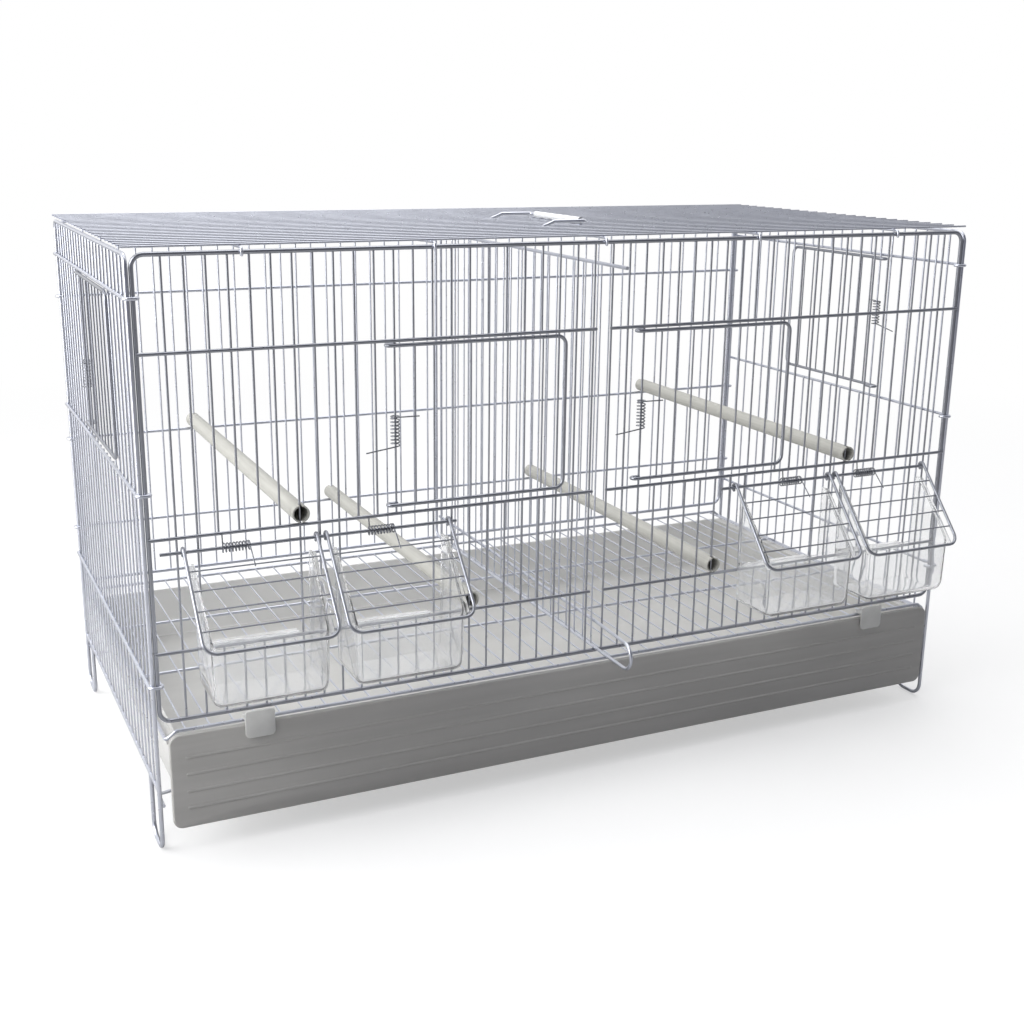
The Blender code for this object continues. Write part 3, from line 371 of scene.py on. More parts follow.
def through(bm, corners, radius, bend, steps=5, sides=10, closed=False):
    """A wire through the corners, each bent round to the same radius."""
    corners = [Vector(c) for c in corners]
    if closed:
        corners = [(corners[0] + corners[-1]) / 2, *corners, (corners[0] + corners[-1]) / 2]
    wire = Wire(bm, corners[0], corners[1] - corners[0], radius, sides)
    for before, corner, after in zip(corners, corners[1:], corners[2:]):
        come, go = (corner - before).normalized(), (after - corner).normalized()
        turn = come.angle(go)
        if turn < 1e-4:
            continue
        axis = come.cross(go).normalized()
        start = corner - come * bend * math.tan(turn / 2)
        pin = start + axis.cross(come) * bend
        wire.go(start).bend(pin, axis, turn, max(2, round(steps * turn / 1.5)))
    wire.go(corners[-1])
    if closed:
        bmesh.ops.delete(bm, geom=[wire.first, wire.cap], context="FACES_ONLY")
        bmesh.ops.remove_doubles(bm, verts=bm.verts, dist=1e-6)
    return wire


def bar(bm, start, end, radius=BAR_R, sides=8):
    """A straight bar."""
    start, end = Vector(start), Vector(end)
    along = end - start
    place = Matrix.Translation((start + end) / 2) @ along_z(along.normalized())
    bmesh.ops.create_cone(bm, cap_ends=True, segments=sides, radius1=radius, radius2=radius,
                          depth=along.length, matrix=place)


def piece(name, bm, material, body, nodes, place=None, smooth=math.radians(50)):
    """A finished piece that stands for CAD nodes."""
    if place:
        bmesh.ops.transform(bm, matrix=place, verts=bm.verts)
    bmesh.ops.recalc_face_normals(bm, faces=bm.faces)
    mesh = bpy.data.meshes.new(name)
    bm.to_mesh(mesh)
    bm.free()
    mesh.shade_smooth()
    mesh.set_sharp_from_angle(angle=smooth)
    mesh.materials.append(material)
    obj = bpy.data.objects.new(name, mesh)
    bpy.context.scene.collection.objects.link(obj)
    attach(obj, body)
    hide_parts(*nodes)


# Panels


def bar_u(k):
    """Where the front's bar k stands, counted from the middle."""
    return HALF_SLOT + k * PITCH


def side_bar(k):
    """Where a side's bar k stands, counted from the middle."""
    return (k + 0.5) * PITCH


def both_ways(values):
    """The values and the same on the other side of the middle."""
    values = list(values)
    return [-v for v in reversed(values)] + values


FRONT_BARS = both_ways(bar_u(k) for k in range(BARS_PER_HALF))
SIDE_BARS = both_ways(side_bar(k) for k in range(SIDE_BARS_PER_HALF))
DOOR_OPENINGS = [(-bar_u(11), -bar_u(2)), (bar_u(2), bar_u(11))]
OUTER_FEEDER = (bar_u(16), bar_u(21))
INNER_FEEDER = (bar_u(9), bar_u(14))
FEEDERS = [(-b, -a) for a, b in (OUTER_FEEDER, INNER_FEEDER)] + [INNER_FEEDER, OUTER_FEEDER]
FEEDER_NAMES = ("left_outer", "left_inner", "right_inner", "right_outer")


def upright(bm, u, low, high, openings):
    """A bar of a panel, left out where an opening cuts it."""
    cuts = sorted((sill, lintel) for left, right, sill, lintel in openings
                  if left + MM < u < right - MM)
    lean = 0.25 * MM
    start = (low, 0)
    for sill, lintel in cuts:
        bar(bm, (u, start[0], start[1]), (u, sill + 0.4 * MM, lean))
        start = (lintel - 0.4 * MM, lean)
    bar(bm, (u, start[0], start[1]), (u, high, 0))


def end_frame(bm):
    """The wire round the front or the back."""
    a, b = HALF_WIDTH, BOTTOM
    corners = [(-a, b, 0), (a, b, 0), (a, TOP, 0), (-a, TOP, 0)]
    through(bm, corners, FRAME_R, CORNER, sides=12, closed=True)


def front_panel():
    """Bars cut at the doors and feeders, on rails that leave the divider's slot open."""
    bm = bmesh.new()
    end_frame(bm)
    top, middle, low = RAILS
    openings = [(a, b, middle, top) for a, b in DOOR_OPENINGS]
    openings += [(a, b, low, middle) for a, b in FEEDERS]
    for u in FRONT_BARS:
        upright(bm, u, BOTTOM, TOP, openings)
    for v in RAILS:
        for side in (-1, 1):
            near, far = side * 5.2 * MM, side * (HALF_WIDTH + 0.4 * MM)
            bar(bm, (near, v, RAIL_W), (far, v, RAIL_W), RAIL_R, 10)
    piece("front_panel_wires", bm, SHADED_ZINC, "cage", ["front_panel"], FRONT)


def back_panel():
    """Whole bars on whole rails, which hook round the sides."""
    bm = bmesh.new()
    end_frame(bm)
    for u in FRONT_BARS:
        upright(bm, u, BOTTOM, TOP, [])
    hook = SIDE_HOOK
    for v in RAILS:
        half = [(HALF_WIDTH + 0.2 * MM, v, RAIL_W), (SIDE_X - 0.6 * MM, v, hook),
                (SIDE_X + hook, v, hook), (SIDE_X + hook, v, -hook), (SIDE_X - 1.1 * MM, v, -hook)]
        through(bm, [(-u, y, w) for u, y, w in reversed(half)] + half, RAIL_R, hook - 0.02 * MM)
    piece("back_panel_wires", bm, LIT_ZINC, "cage", ["back_panel"], BACK)


def side_panel(name, place, front, door):
    """front is the sign of u at the cage's front, and door gives the bars beside the doorway."""
    bm = bmesh.new()
    foot_width, foot_bend, foot = 27.6 * MM, 9 * MM, 1.38 * MM
    half, inner, quarter = HALF_DEPTH, HALF_DEPTH - foot_width, math.pi / 2
    leg = [(-inner, SIDE_BOTTOM, 0), (-inner, foot, 0), (-half, foot, 0), (-half, TOP / 2, 0)]
    wire = through(bm, leg, FRAME_R, foot_bend, 7, 12)
    wire.go((-half, TOP - CORNER, 0)).bend((CORNER - half, TOP - CORNER, 0), -Z, quarter, 5)
    wire.go((half - CORNER, TOP, 0)).bend((half - CORNER, TOP - CORNER, 0), -Z, quarter, 5)
    pin = foot + foot_bend
    wire.go((half, pin, 0)).bend((half - foot_bend, pin, 0), -Z, quarter, 7)
    wire.go((inner + foot_bend, foot, 0)).bend((inner + foot_bend, pin, 0), -Z, quarter, 7)
    wire.go((inner, SIDE_BOTTOM, 0))
    bar(bm, (-half, SIDE_BOTTOM, 0), (half, SIDE_BOTTOM, 0), 1.3 * MM, 10)
    top, middle, low = SIDE_RAILS
    for u in SIDE_BARS:
        upright(bm, u, SIDE_BOTTOM, TOP, [(*door, middle, top)])
    hook, outside = SIDE_HOOK, SIDE_X - HALF_WIDTH
    for v in SIDE_RAILS:
        corners = [(-half - 0.4 * MM, RAIL_W), (half + hook, RAIL_W),
                   (half + hook, -outside - hook), (half - 1.1 * MM, -outside - hook)]
        through(bm, [(front * u, v, w) for u, w in corners], RAIL_R, hook - 0.02 * MM)
    runner_v, runner_w = 32 * MM, -2.1 * MM
    left = [(-half - 0.2 * MM, runner_v, runner_w), (17 * MM - half, runner_v, runner_w),
            (20.3 * MM - half, runner_v, -17 * MM)]
    through(bm, left + [(-u, v, w) for u, v, w in reversed(left)], RAIL_R, 1.6 * MM)
    piece(name + "_wires", bm, LIT_ZINC, "cage", [name], place)


def top_panel():
    """Long bars on five cross wires, whose ends hook over the front's and the back's top wires."""
    bm = bmesh.new()
    hook, cross_pitch, quarter = 2.7 * MM, 119 * MM, math.pi / 2
    z, tip = TOP + hook, math.radians(40)
    for step in range(-2, 3):
        x = step * cross_pitch
        low = z - (0.4 * MM if abs(step) < 2 else 0)
        start = Vector((x, -HALF_DEPTH - hook * math.cos(tip), TOP - hook * math.sin(tip)))
        wire = Wire(bm, start, (0, -math.sin(tip), math.cos(tip)), 1.0 * MM)
        wire.bend((x, -HALF_DEPTH, TOP), -X, quarter + tip, 8)
        for y, height in ((-132, z), (-126, low), (126, low), (132, z)):
            wire.go((x, y * MM, height))
        wire.go((x, HALF_DEPTH, z)).bend((x, HALF_DEPTH, TOP), -X, quarter + tip, 8)
    last = SIDE_BARS[-1] + PITCH
    for y in [-last, *SIDE_BARS, last]:
        bar(bm, (-305 * MM, y, TOP_BARS_Z), (305 * MM, y, TOP_BARS_Z), 0.7 * MM)
    piece("top_panel_wires", bm, LIT_ZINC, "cage", ["top_panel"], CAGE)


# Doors and their springs


def wound_spring(name, start, heading, coil_start, axis, axis_start, length, place):
    """A leg on the cage's wires, and the coil that it runs into."""
    bm = bmesh.new()
    wire = Wire(bm, start, heading, SPRING_R, 8)
    wire.go(coil_start).wind(axis_start, axis, math.tau * COIL_TURNS, length, COIL_TURNS * 20)
    piece(name + "_coil", bm, SPRING, "cage", [name], place)


def spring_leg(name, start, heading, axis, axis_start, tip, body, place):
    """The last turn of a spring and the leg that moves with the door or hatch."""
    bm = bmesh.new()
    wire = Wire(bm, start, heading, SPRING_R, 8)
    wire.bend(axis_start, axis, math.tau, 20).go(tip)
    piece(name + "_leg", bm, SPRING, body, [name], place)


def door(name, place, low, high, spring_at):
    """A U of wire with its eight bars, hooked round its hinge bar, and the spring that shuts it."""
    body, spring = name + "_body", name + "_spring"
    bm = bmesh.new()
    reach, tail, corner, quarter = -3.0 * MM, 1.95 * MM, 6 * MM, math.pi / 2
    bend_u = DOOR_WIDTH - corner
    wire = Wire(bm, (tail, low, -DOOR_W), -X, DOOR_R, 12)
    wire.go((reach, low, -DOOR_W)).bend((reach, low, 0), Y, math.pi, 10)
    wire.go((bend_u, low, DOOR_W)).bend((bend_u, low + corner, DOOR_W), Z, quarter, 6)
    wire.go((DOOR_WIDTH, high - corner, DOOR_W))
    wire.bend((bend_u, high - corner, DOOR_W), Z, quarter, 6)
    wire.go((reach, high, DOOR_W)).bend((reach, high, 0), Y, -math.pi, 10)
    wire.go((tail, high, -DOOR_W))
    for k in range(1, 9):
        bar(bm, (k * PITCH, low, DOOR_W), (k * PITCH, high, DOOR_W), LIGHT_R)
    piece(name + "_wires", bm, SHADED_ZINC, body, [name], place)
    length = 18 * MM
    wound_spring(spring, (-19.8 * MM, spring_at - 3 * MM, 1.4 * MM), (19.8, 3, 1.3),
                 (0, spring_at, COIL_R), Y, (0, spring_at, 0), length, place)
    top = spring_at + length + 0.6 * MM
    tip = (14.7 * MM, top, 3.72 * MM)
    spring_leg(spring, (0, top, COIL_R), X, Y, (0, top, 0), tip, body, place)


def doors():
    """Two in the front and one in each side."""
    top, middle, _ = RAILS
    for side, u, spring_at in (("left", -bar_u(11), 248 * MM), ("right", bar_u(2), 245 * MM)):
        place = FRONT @ Matrix.Translation((u, 0, 0))
        door(side + "_front_door", place, middle + 5.5 * MM, top - 3 * MM, spring_at)
    top, middle, _ = SIDE_RAILS
    sides = (("left", LEFT, 2, 265 * MM), ("right", RIGHT, 4, 290 * MM))
    for side, panel, k, spring_at in sides:
        place = panel @ Matrix.Translation((-side_bar(k), 0, 0))
        door(side + "_side_door", place, middle + 8 * MM, top - 3 * MM, spring_at)


# Hatches


def hatch(name, place, spring_start):
    """A lid and its spring, drawn about its rod: v runs down the slope, w to the inner side."""
    body, spring = name + "_hatch_body", name + "_hatch_spring"
    slope = place @ Matrix.Rotation(math.pi / 2 + HATCH_SLOPE, 4, "X")
    bm = bmesh.new()
    half, corner, wrap = HATCH_HALF, 8 * MM, math.radians(210)
    bend_u, bend_v = half - corner, HATCH_LENGTH - corner
    open_at = math.radians(60)
    start = Vector((-half, HATCH_W * math.cos(open_at), HATCH_W * math.sin(open_at)))
    wire = Wire(bm, start, (0, -math.sin(open_at), math.cos(open_at)), HATCH_R, 12)
    wire.bend((-half, 0, 0), X, wrap, 10)
    wire.go((-half, bend_v, -HATCH_W))
    wire.bend((-bend_u, bend_v, -HATCH_W), -Z, math.pi / 2, 6)
    wire.go((bend_u, HATCH_LENGTH, -HATCH_W))
    wire.bend((bend_u, bend_v, -HATCH_W), -Z, math.pi / 2, 6)
    wire.go((half, 0, -HATCH_W)).bend((half, 0, 0), X, -wrap, 10)
    for k in range(4):
        v = HATCH_LENGTH - LAST_HATCH_BAR - k * HATCH_BAR_GAP
        bar(bm, (-half, v, -HATCH_W), (half, v, -HATCH_W), 0.56 * MM)
    piece(name + "_hatch_wires", bm, SHADED_ZINC, body, [name + "_feeder_hatch"], slope)
    s, length = spring_start, 16 * MM
    wound_spring(spring, (s, 9 * MM, 1.35 * MM), (0, -9, 1.35),
                 (s, 0, COIL_R), X, (s, 0, 0), length, place)
    end = s + length + 0.6 * MM
    reach = HATCH_LENGTH - LAST_HATCH_BAR - 3 * HATCH_BAR_GAP + 2 * MM
    over = HATCH_W + 0.5 * MM + 0.75 * MM
    down, out = math.sin(HATCH_SLOPE), math.cos(HATCH_SLOPE)
    tip = (end, -reach * down + over * out, reach * out + over * down)
    spring_leg(spring, (end, 0, COIL_R), -Y, X, (end, 0, 0), tip, body, place)


def hatches():
    """Four hatches on two rods."""
    spring_starts = (-17.8, -13.5, -1.5, -22.7)
    for name, (a, b), start in zip(FEEDER_NAMES, FEEDERS, spring_starts):
        hatch(name, FRONT @ Matrix.Translation(((a + b) / 2, ROD_Z, ROD_W)), start * MM)
    for side, left_end, right_end in (("left", -294.4, -105.1), ("right", 98.7, 283.4)):
        bm = bmesh.new()
        bar(bm, (left_end * MM, ROD_Z, ROD_W), (right_end * MM, ROD_Z, ROD_W), 1.1 * MM, 12)
        piece(side + "_rod", bm, SHADED_ZINC, "cage", [side + "_hatch_rod"], FRONT)


# Moulded pieces


def block(bm, low, high):
    """A block between two corners. Gives its vertices."""
    low, high = Vector(low), Vector(high)
    place = Matrix.Translation((low + high) / 2) @ Matrix.Diagonal((*(high - low), 1))
    return bmesh.ops.create_cube(bm, size=1, matrix=place)["verts"]


def pressed(bm, corners, push):
    """A flat outline of a few corners, pushed out to a solid. Gives its vertices."""
    face = bm.faces.new([bm.verts.new(c) for c in corners])
    made = bmesh.ops.extrude_face_region(bm, geom=[face])["geom"]
    far = [g for g in made if isinstance(g, bmesh.types.BMVert)]
    bmesh.ops.translate(bm, verts=far, vec=push)
    return list(face.verts) + far


def edges_of(verts, test=lambda a, b: True):
    """The edges between these vertices that pass a test of their two ends."""
    chosen = dict.fromkeys(e for v in verts for e in v.link_edges)
    return [e for e in chosen if test(e.verts[0].co, e.verts[1].co)]


def soften(bm, edges, by, steps=2):
    """Rounds the edges."""
    bmesh.ops.bevel(bm, geom=edges, offset=by, offset_type="OFFSET", segments=steps, profile=0.5,
                    affect="EDGES", material=-1, clamp_overlap=True)


def tube(bm, middle, half, outside, inside, sides, slot=0.0):
    """A tube along Y. With a slot, both ends are cut at top and bottom to that depth."""
    for radius in (outside, inside):
        bmesh.ops.create_circle(bm, segments=sides, radius=radius)
    bmesh.ops.bridge_loops(bm, edges=bm.edges[:])
    along_y = Matrix.Rotation(math.pi / 2, 3, "X")
    bmesh.ops.rotate(bm, verts=bm.verts, cent=(0, 0, 0), matrix=along_y)
    straight = half - slot
    bmesh.ops.translate(bm, verts=bm.verts, vec=-Y * straight)
    made = bmesh.ops.extrude_face_region(bm, geom=bm.faces[:])["geom"]
    far = [g for g in made if isinstance(g, bmesh.types.BMVert)]
    bmesh.ops.translate(bm, verts=far, vec=Y * 2 * straight)
    bmesh.ops.recalc_face_normals(bm, faces=bm.faces)
    for side in (-1, 1) if slot else ():
        end = [f for f in bm.faces if f.normal.y * side > 0.9]
        claws = [f for f in end if abs(f.calc_center_median().x) > outside / 8]
        made = bmesh.ops.extrude_face_region(bm, geom=claws)["geom"]
        bmesh.ops.delete(bm, geom=claws, context="FACES")
        ends = [g for g in made if isinstance(g, bmesh.types.BMVert)]
        bmesh.ops.translate(bm, verts=ends, vec=Y * side * slot)
    bmesh.ops.translate(bm, verts=bm.verts, vec=middle)


def perches():
    """Four tubes, whose slotted ends straddle a bar of the front and of the back."""
    outside, inside, over_rail, slot = 5.5 * MM, 4.6 * MM, 6.9 * MM, 4.65 * MM
    for side, way in (("left", -1), ("right", 1)):
        for level, k, rail in (("upper", 16, RAILS[1]), ("lower", 7, RAILS[2])):
            bm = bmesh.new()
            middle = (way * bar_u(k), 0, rail + over_rail)
            tube(bm, middle, HALF_DEPTH + 3.65 * MM, outside, inside, 32, slot)
            name = f"{side}_{level}_perch"
            piece(name + "_tube", bm, CREAM, "cage", [name], CAGE,
                  math.radians(35))


def cup(name, u):
    """A trough with a sloping open top and a low back, whose lip hooks over the low rail."""
    half, wall, flange_x, draft = 37 * MM, 1.5 * MM, 37.3 * MM, 0.05
    back, front, rest = 3.35 * MM, 44.85 * MM, 7.25 * MM
    bottom, sill, front_top, back_top = 108 * MM, 136.1 * MM, 145.5 * MM, 188 * MM
    bm = bmesh.new()
    side = ((bottom, back), (bottom, front), (front_top, front), (back_top, rest), (back_top, back))
    pressed(bm, [(-half, v, w) for v, w in side], X * 2 * half)

    def across(a, b):
        return a.x * b.x < 0 and a.y < sill and min(a.z, b.z) > rest

    def along_side(a, b):
        return a.x * b.x > 0 and min(a.y, b.y) < sill and max(a.z, b.z) > rest

    soften(bm, edges_of(bm.verts, across), 9 * MM, 5)
    soften(bm, edges_of(bm.verts, along_side), 5.5 * MM, 4)
    bmesh.ops.recalc_face_normals(bm, faces=bm.faces)
    everything = bm.verts[:] + bm.edges[:] + bm.faces[:]
    bmesh.ops.bisect_plane(bm, geom=everything, plane_co=(0, sill, 0), plane_no=Y)
    middle = {f: f.calc_center_median() for f in bm.faces}
    mouth = [f for f, at in middle.items()
             if f.normal.y > 0.5 or (f.normal.z < -0.9 and at.y > sill)]
    bmesh.ops.delete(bm, geom=mouth, context="FACES")
    for vertex in bm.verts:
        vertex.co.x *= 1 - draft * (back_top - vertex.co.y) / (back_top - bottom)
    bmesh.ops.solidify(bm, geom=bm.faces[:], thickness=wall)
    rise, run = back_top - front_top, front - rest
    reach = math.hypot(rise, run) / 2
    for way in (-1, 1):
        place = Matrix.Translation((way * flange_x, front_top + rise / 2, front - run / 2))
        place = place @ Matrix.Rotation(-math.atan2(run, rise), 4, "X")
        flange = block(bm, (-1.7 * MM, MM - reach, -1.5 * MM), (1.7 * MM, reach, 0))
        bmesh.ops.transform(bm, matrix=place, verts=flange)
        soften(bm, edges_of(flange), 0.4 * MM)
    under, drop, inner, outer, half_lip = 134.4 * MM, 5 * MM, -2.55 * MM, 4.1 * MM, 28 * MM
    hook = ((under, outer), (under, inner + wall), (under - drop, inner + wall),
            (under - drop, inner), (under + wall, inner), (under + wall, outer))
    lip = pressed(bm, [(-half_lip, v, w) for v, w in hook], X * 2 * half_lip)
    soften(bm, edges_of(lip), 0.35 * MM)
    shown = name + "_feeder_cup"
    place = FRONT @ Matrix.Translation((u, 0, 0))
    piece(shown + "_trough", bm, CLEAR, "cage", [shown], place)


def tray():
    """A drawer: a basin with side flanges behind a rounded front, on which four low ribs stand."""
    bm = bmesh.new()
    face, floor, rim = TRAY_FACE, 33.4 * MM, 75 * MM
    basin = block(bm, (-291 * MM, face + 2.5 * MM, floor), (291 * MM, TRAY_BACK, rim))
    soften(bm, edges_of(basin, lambda a, b: abs(a.z - b.z) > MM), 7 * MM, 4)
    soften(bm, edges_of(bm.verts, lambda a, b: max(a.z, b.z) < floor + 0.1 * MM), 3 * MM, 3)
    bmesh.ops.recalc_face_normals(bm, faces=bm.faces)
    bmesh.ops.delete(bm, geom=[f for f in bm.faces if f.normal.z > 0.9], context="FACES")
    bmesh.ops.solidify(bm, geom=bm.faces[:], thickness=TRAY_WALL)
    for way in (-1, 1):
        low, high = sorted((way * 289.5 * MM, way * 297 * MM))
        flange = block(bm, (low, -148.5 * MM, 73.3 * MM), (high, 139.8 * MM, 74.8 * MM))
        soften(bm, edges_of(flange), 0.4 * MM)
    front = block(bm, (-296.5 * MM, face, 17 * MM), (296.5 * MM, face + TRAY_FRONT_WALL, 80 * MM))
    soften(bm, edges_of(front, lambda a, b: abs(a.y - b.y) > MM), 6 * MM, 6)
    rim_edges = edges_of(bm.verts, lambda a, b: max(a.y, b.y) < face + 0.1 * MM)
    soften(bm, rim_edges, 1.1 * MM, 3)
    rib_end, rib_r = 286 * MM, 1.7 * MM
    for z in (30.4 * MM, 41.6 * MM, 53.2 * MM, 64.6 * MM):
        ends = [Vector((x, face + 1.2 * MM, z)) for x in (-rib_end, rib_end)]
        bar(bm, *ends, rib_r, 20)
        for end in ends:
            bmesh.ops.create_uvsphere(bm, u_segments=20, v_segments=10, radius=rib_r,
                                      matrix=Matrix.Translation(end))
    piece("tray_drawer", bm, GREY, "tray_body", ["tray"], CAGE)


def clips():
    """A tab over the tray's front and a shelf that rests on the grille's front wire."""
    outer, inner, shelf_end = -155.6, -154.1, -147.3
    low, under, over, high = 71, 83, 84.5, 89
    shape = ((outer, low), (inner, low), (inner, under), (shelf_end, under), (shelf_end, over),
             (inner, over), (inner, high), (outer, high))

    def lower_corner(a, b):
        return abs(a.y - b.y) > MM and max(a.z, b.z) < (low + 1) * MM

    def upper_corner(a, b):
        return abs(a.y - b.y) > MM and min(a.z, b.z) > (high - 1) * MM

    for side, way in (("left", -1), ("right", 1)):
        bm = bmesh.new()
        start, width = way * 240 * MM - 9.5 * MM, 19 * MM
        pressed(bm, [(start, y * MM, z * MM) for y, z in shape], X * width)
        soften(bm, edges_of(bm.verts, lower_corner), 3 * MM, 5)
        soften(bm, edges_of(bm.verts, upper_corner), 2 * MM, 4)
        soften(bm, edges_of(bm.verts, lambda a, b: max(a.y, b.y) < -155.5 * MM), 0.5 * MM)
        name = side + "_tray_clip"
        piece(name + "_moulding", bm, MILKY, "grille_body", [name], CAGE)


# Divider, floor grille and handle


def divider():
    """Bars in a U of wire, whose low end turns back in a loop for a finger."""
    bm = bmesh.new()
    r, corner, quarter = 1.2 * MM, 6 * MM, math.pi / 2
    back, top, low = 143.5 * MM, 356 * MM, 91.2 * MM
    loop_r, beside = 9 * MM, 1.95 * MM
    tip, loop_top = -HALF_DEPTH - 43.7 * MM, low + 2 * loop_r
    bend_u = back - corner
    wire = Wire(bm, (-HALF_DEPTH - 30 * MM, top, 0), X, r, 12)
    wire.go((bend_u, top, 0)).bend((bend_u, top - corner, 0), -Z, quarter, 6)
    wire.go((back, low + corner, 0)).bend((bend_u, low + corner, 0), -Z, quarter, 6)
    wire.go((tip, low, 0)).bend((tip, low + loop_r, 0), -Z, math.pi, 16)
    wire.go((-HALF_DEPTH, loop_top, beside)).go((back - 2.7 * MM, loop_top, beside))
    first = -HALF_DEPTH + 3.35 * MM
    for k in range(23):
        bar(bm, (first + k * PITCH, low, 0), (first + k * PITCH, top, 0), LIGHT_R)
    place = basis(Vector(), Y, Z, X)
    piece("divider_wires", bm, LIT_ZINC, "divider_body", ["divider_grid"], place)


def floor_grille():
    """Thin bars from front to back in a loop that drops at both sides on to the tray's flanges."""
    bm = bmesh.new()
    shoulder, foot, gap = 291 * MM, 297.5 * MM, 15 * MM
    front, back, z, low = -148.8 * MM, 142 * MM, 81.5 * MM, 76.5 * MM
    loop = [(-shoulder, front, z), (shoulder, front, z), (foot, front, low), (foot, back, low),
            (shoulder, back, z), (-shoulder, back, z), (-foot, back, low), (-foot, front, low)]
    through(bm, loop, 1.2 * MM, 3 * MM, 4, 12, closed=True)
    for k in range(-19, 20):
        bar(bm, (k * gap, front, z), (k * gap, back, z), LIGHT_R)
    under, end = z - 1.8 * MM, low + 0.6 * MM
    for y in (-49.1 * MM, 49.1 * MM):
        corners = [(-foot, y, end), (-shoulder, y, under), (shoulder, y, under), (foot, y, end)]
        through(bm, corners, 1.1 * MM, 3 * MM, 4)
    piece("floor_grille_wires", bm, LIT_ZINC, "grille_body", ["floor_grille"], CAGE)


def handle():
    """A bail, lying down, whose ends curl round a bar of the top, and its sleeve."""
    bm = bmesh.new()
    r, ring, reach, corner = 1.35 * MM, 2.8 * MM, 31 * MM, 3 * MM
    axis_z, half, mid = 372.3 * MM, 44.1 * MM, -18.9 * MM
    grip_z, bend_x = axis_z + 5.2 * MM, reach - corner
    near, far = mid - half, mid + half
    open_at, wrap, quarter = math.radians(300), math.radians(210), math.pi / 2
    start = Vector((ring * math.cos(open_at), near, axis_z + ring * math.sin(open_at)))
    wire = Wire(bm, start, (math.sin(open_at), 0, -math.cos(open_at)), r, 12)
    wire.bend((0, near, axis_z), Y, wrap, 12)
    wire.go((ring * 2, near, grip_z)).go((bend_x, near, grip_z))
    wire.bend((bend_x, near + corner, grip_z), Z, quarter, 6)
    wire.go((reach, far - corner, grip_z))
    wire.bend((bend_x, far - corner, grip_z), Z, quarter, 6)
    wire.go((ring * 2, far, grip_z)).go((0, far, axis_z + ring))
    wire.bend((0, far, axis_z), Y, -wrap, 12)
    piece("carry_bail", bm, LIT_ZINC, "handle_body", ["carry_handle"], CAGE)
    sleeve = bmesh.new()
    tube(sleeve, (reach, mid, grip_z), 36 * MM, 2.2 * MM, 1.8 * MM, 24)
    piece("grip_sleeve", sleeve, WHITE, "handle_body", ["handle_grip"], CAGE)


def finish_nodes():
    """Gives every node its finish, shown or not."""
    for entry in frame["record"]["subparts"]:
        node = frame["nodes"][entry["node"]]
        material = SLOTS[entry["material_slot"]]
        if entry["node"].endswith("tray_clip"):
            material = MILKY
        node.data.materials.clear()
        node.data.materials.append(material)


# Stage

FLOOR_GLOW = 0.5  # near the cage, where the floor still shows the shadow


def seen_by_eye(tree):
    """One for what the camera sees straight or through clear plastic."""
    path = add(tree, "ShaderNodeLightPath")
    either = add(tree, "ShaderNodeMath", operation="MAXIMUM")
    tree.links.new(path.outputs["Is Camera Ray"], either.inputs[0])
    tree.links.new(path.outputs["Is Transmission Ray"], either.inputs[1])
    return either.outputs[0]


def stage():
    """A white floor, which the camera sees paler than it lights the cage, with the shadow kept."""
    bm = bmesh.new()
    bmesh.ops.create_grid(bm, x_segments=1, y_segments=1, size=6)
    mesh = bpy.data.meshes.new("floor")
    bm.to_mesh(mesh)
    bm.free()
    floor = bpy.data.objects.new("floor", mesh)
    bpy.context.scene.collection.objects.link(floor)
    floor.location.z = -0.0005
    made, tree, shader = shader_of("white_floor")
    away = add(tree, "ShaderNodeVectorMath", operation="LENGTH")
    tree.links.new(add(tree, "ShaderNodeTexCoord").outputs["Object"], away.inputs[0])
    fade = add(tree, "ShaderNodeMapRange")
    limits = {"From Min": 0.5, "From Max": 1.6, "To Min": FLOOR_GLOW, "To Max": 1.0}
    for socket, value in limits.items():
        fade.inputs[socket].default_value = value
    tree.links.new(away.outputs["Value"], fade.inputs["Value"])
    paint = shift(tree, seen_by_eye(tree), (0.5, 0.5, 0.5), (0.95, 0.95, 0.95))
    tree.links.new(paint, shader.inputs["Base Color"])
    shader.inputs["Roughness"].default_value = 0.8
    shader.inputs["Specular IOR Level"].default_value = 0.1
    glow = add(tree, "ShaderNodeEmission", Strength=1.0)
    glow.inputs["Color"].default_value = (1, 1, 1, 1)
    share = add(tree, "ShaderNodeMath", operation="MULTIPLY")
    tree.links.new(seen_by_eye(tree), share.inputs[0])
    tree.links.new(fade.outputs["Result"], share.inputs[1])
    seen = add(tree, "ShaderNodeMixShader")
    for source, socket in zip((share, shader, glow), seen.inputs):
        tree.links.new(source.outputs[0], socket)
    tree.links.new(seen.outputs[0], tree.nodes["Material Output"].inputs["Surface"])
    mesh.materials.append(made)


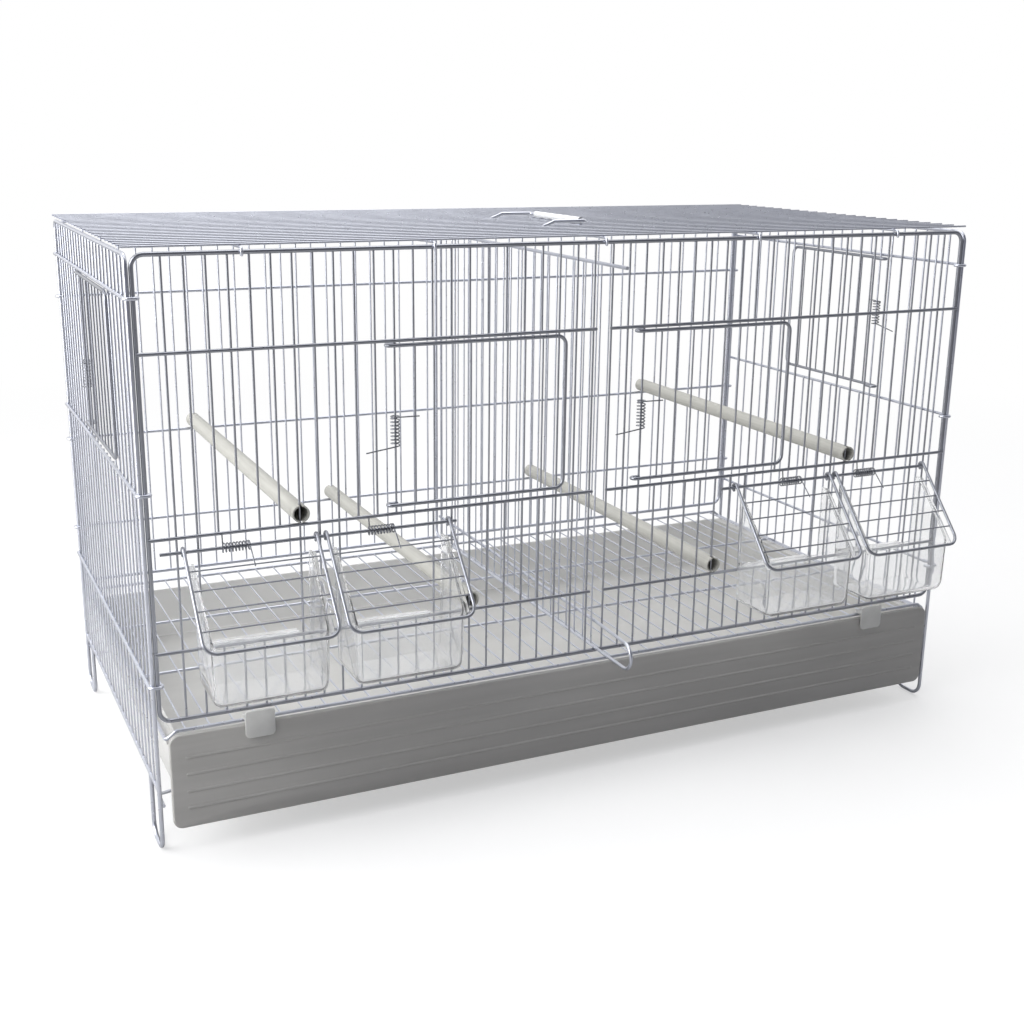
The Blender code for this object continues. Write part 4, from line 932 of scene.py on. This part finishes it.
def world():
    """A white room with a dark side where the photographer stands."""
    made = bpy.data.worlds.new("studio")
    bpy.context.scene.world = made
    made.use_nodes = True
    tree = made.node_tree
    background = tree.nodes["Background"]
    where = add(tree, "ShaderNodeTexCoord")
    direction = add(tree, "ShaderNodeVectorMath", operation="DOT_PRODUCT")
    direction.inputs[1].default_value = (0.12, -0.98, 0.05)
    tree.links.new(where.outputs["Generated"], direction.inputs[0])
    room = ramp(tree, direction.outputs["Value"],
                (0.0, (1.0, 1.0, 1.0)), (0.3, (0.62, 0.63, 0.66)), (0.6, (0.11, 0.115, 0.145)))
    colour = shift(tree, seen_by_eye(tree), room, (1.0, 1.0, 1.0))
    tree.links.new(colour, background.inputs["Color"])
    background.inputs["Strength"].default_value = 1.0


def area(name, place, aim, size, power):
    """A round lamp that looks at a point."""
    lamp = bpy.data.lights.new(name, "AREA")
    lamp.shape = "DISK"
    lamp.size = size
    lamp.energy = power
    obj = bpy.data.objects.new(name, lamp)
    obj.location = place
    obj.rotation_euler = (Vector(place) - Vector(aim)).to_track_quat("Z", "Y").to_euler()
    bpy.context.scene.collection.objects.link(obj)


def camera():
    """Stands and looks as the photograph's did."""
    lens = bpy.data.cameras.new("camera")
    lens.lens = 47.4
    lens.sensor_width = 36
    lens.clip_start = 0.05
    obj = bpy.data.objects.new("camera", lens)
    obj.location = (-0.43089, -0.92168 + SET_BACK, 0.43964)
    obj.rotation_euler = (1.2937, -0.0117, -0.4391)
    bpy.context.scene.collection.objects.link(obj)
    bpy.context.scene.camera = obj


front_panel()
back_panel()
side_panel("left_side_panel", LEFT, 1, (-side_bar(2), side_bar(6)))
side_panel("right_side_panel", RIGHT, -1, (-side_bar(4), side_bar(4)))
top_panel()
doors()
hatches()
divider()
floor_grille()
for cup_name, (near, far) in zip(FEEDER_NAMES, FEEDERS):
    cup(cup_name, (near + far) / 2)
perches()
tray()
clips()
handle()
finish_nodes()
stage()
world()
area("window", (-1.3, -0.5, 1.0), (-0.1, 0, 0.15), 0.9, 9)
area("side_window", (-1.0, 0.1, 0.4), (-0.3, 0, 0.2), 0.8, 6)
area("ceiling", (0.1, 0.3, 2.0), (0, 0, 0.2), 1.8, 14)
camera()
bpy.context.scene.view_settings.view_transform = "Standard"
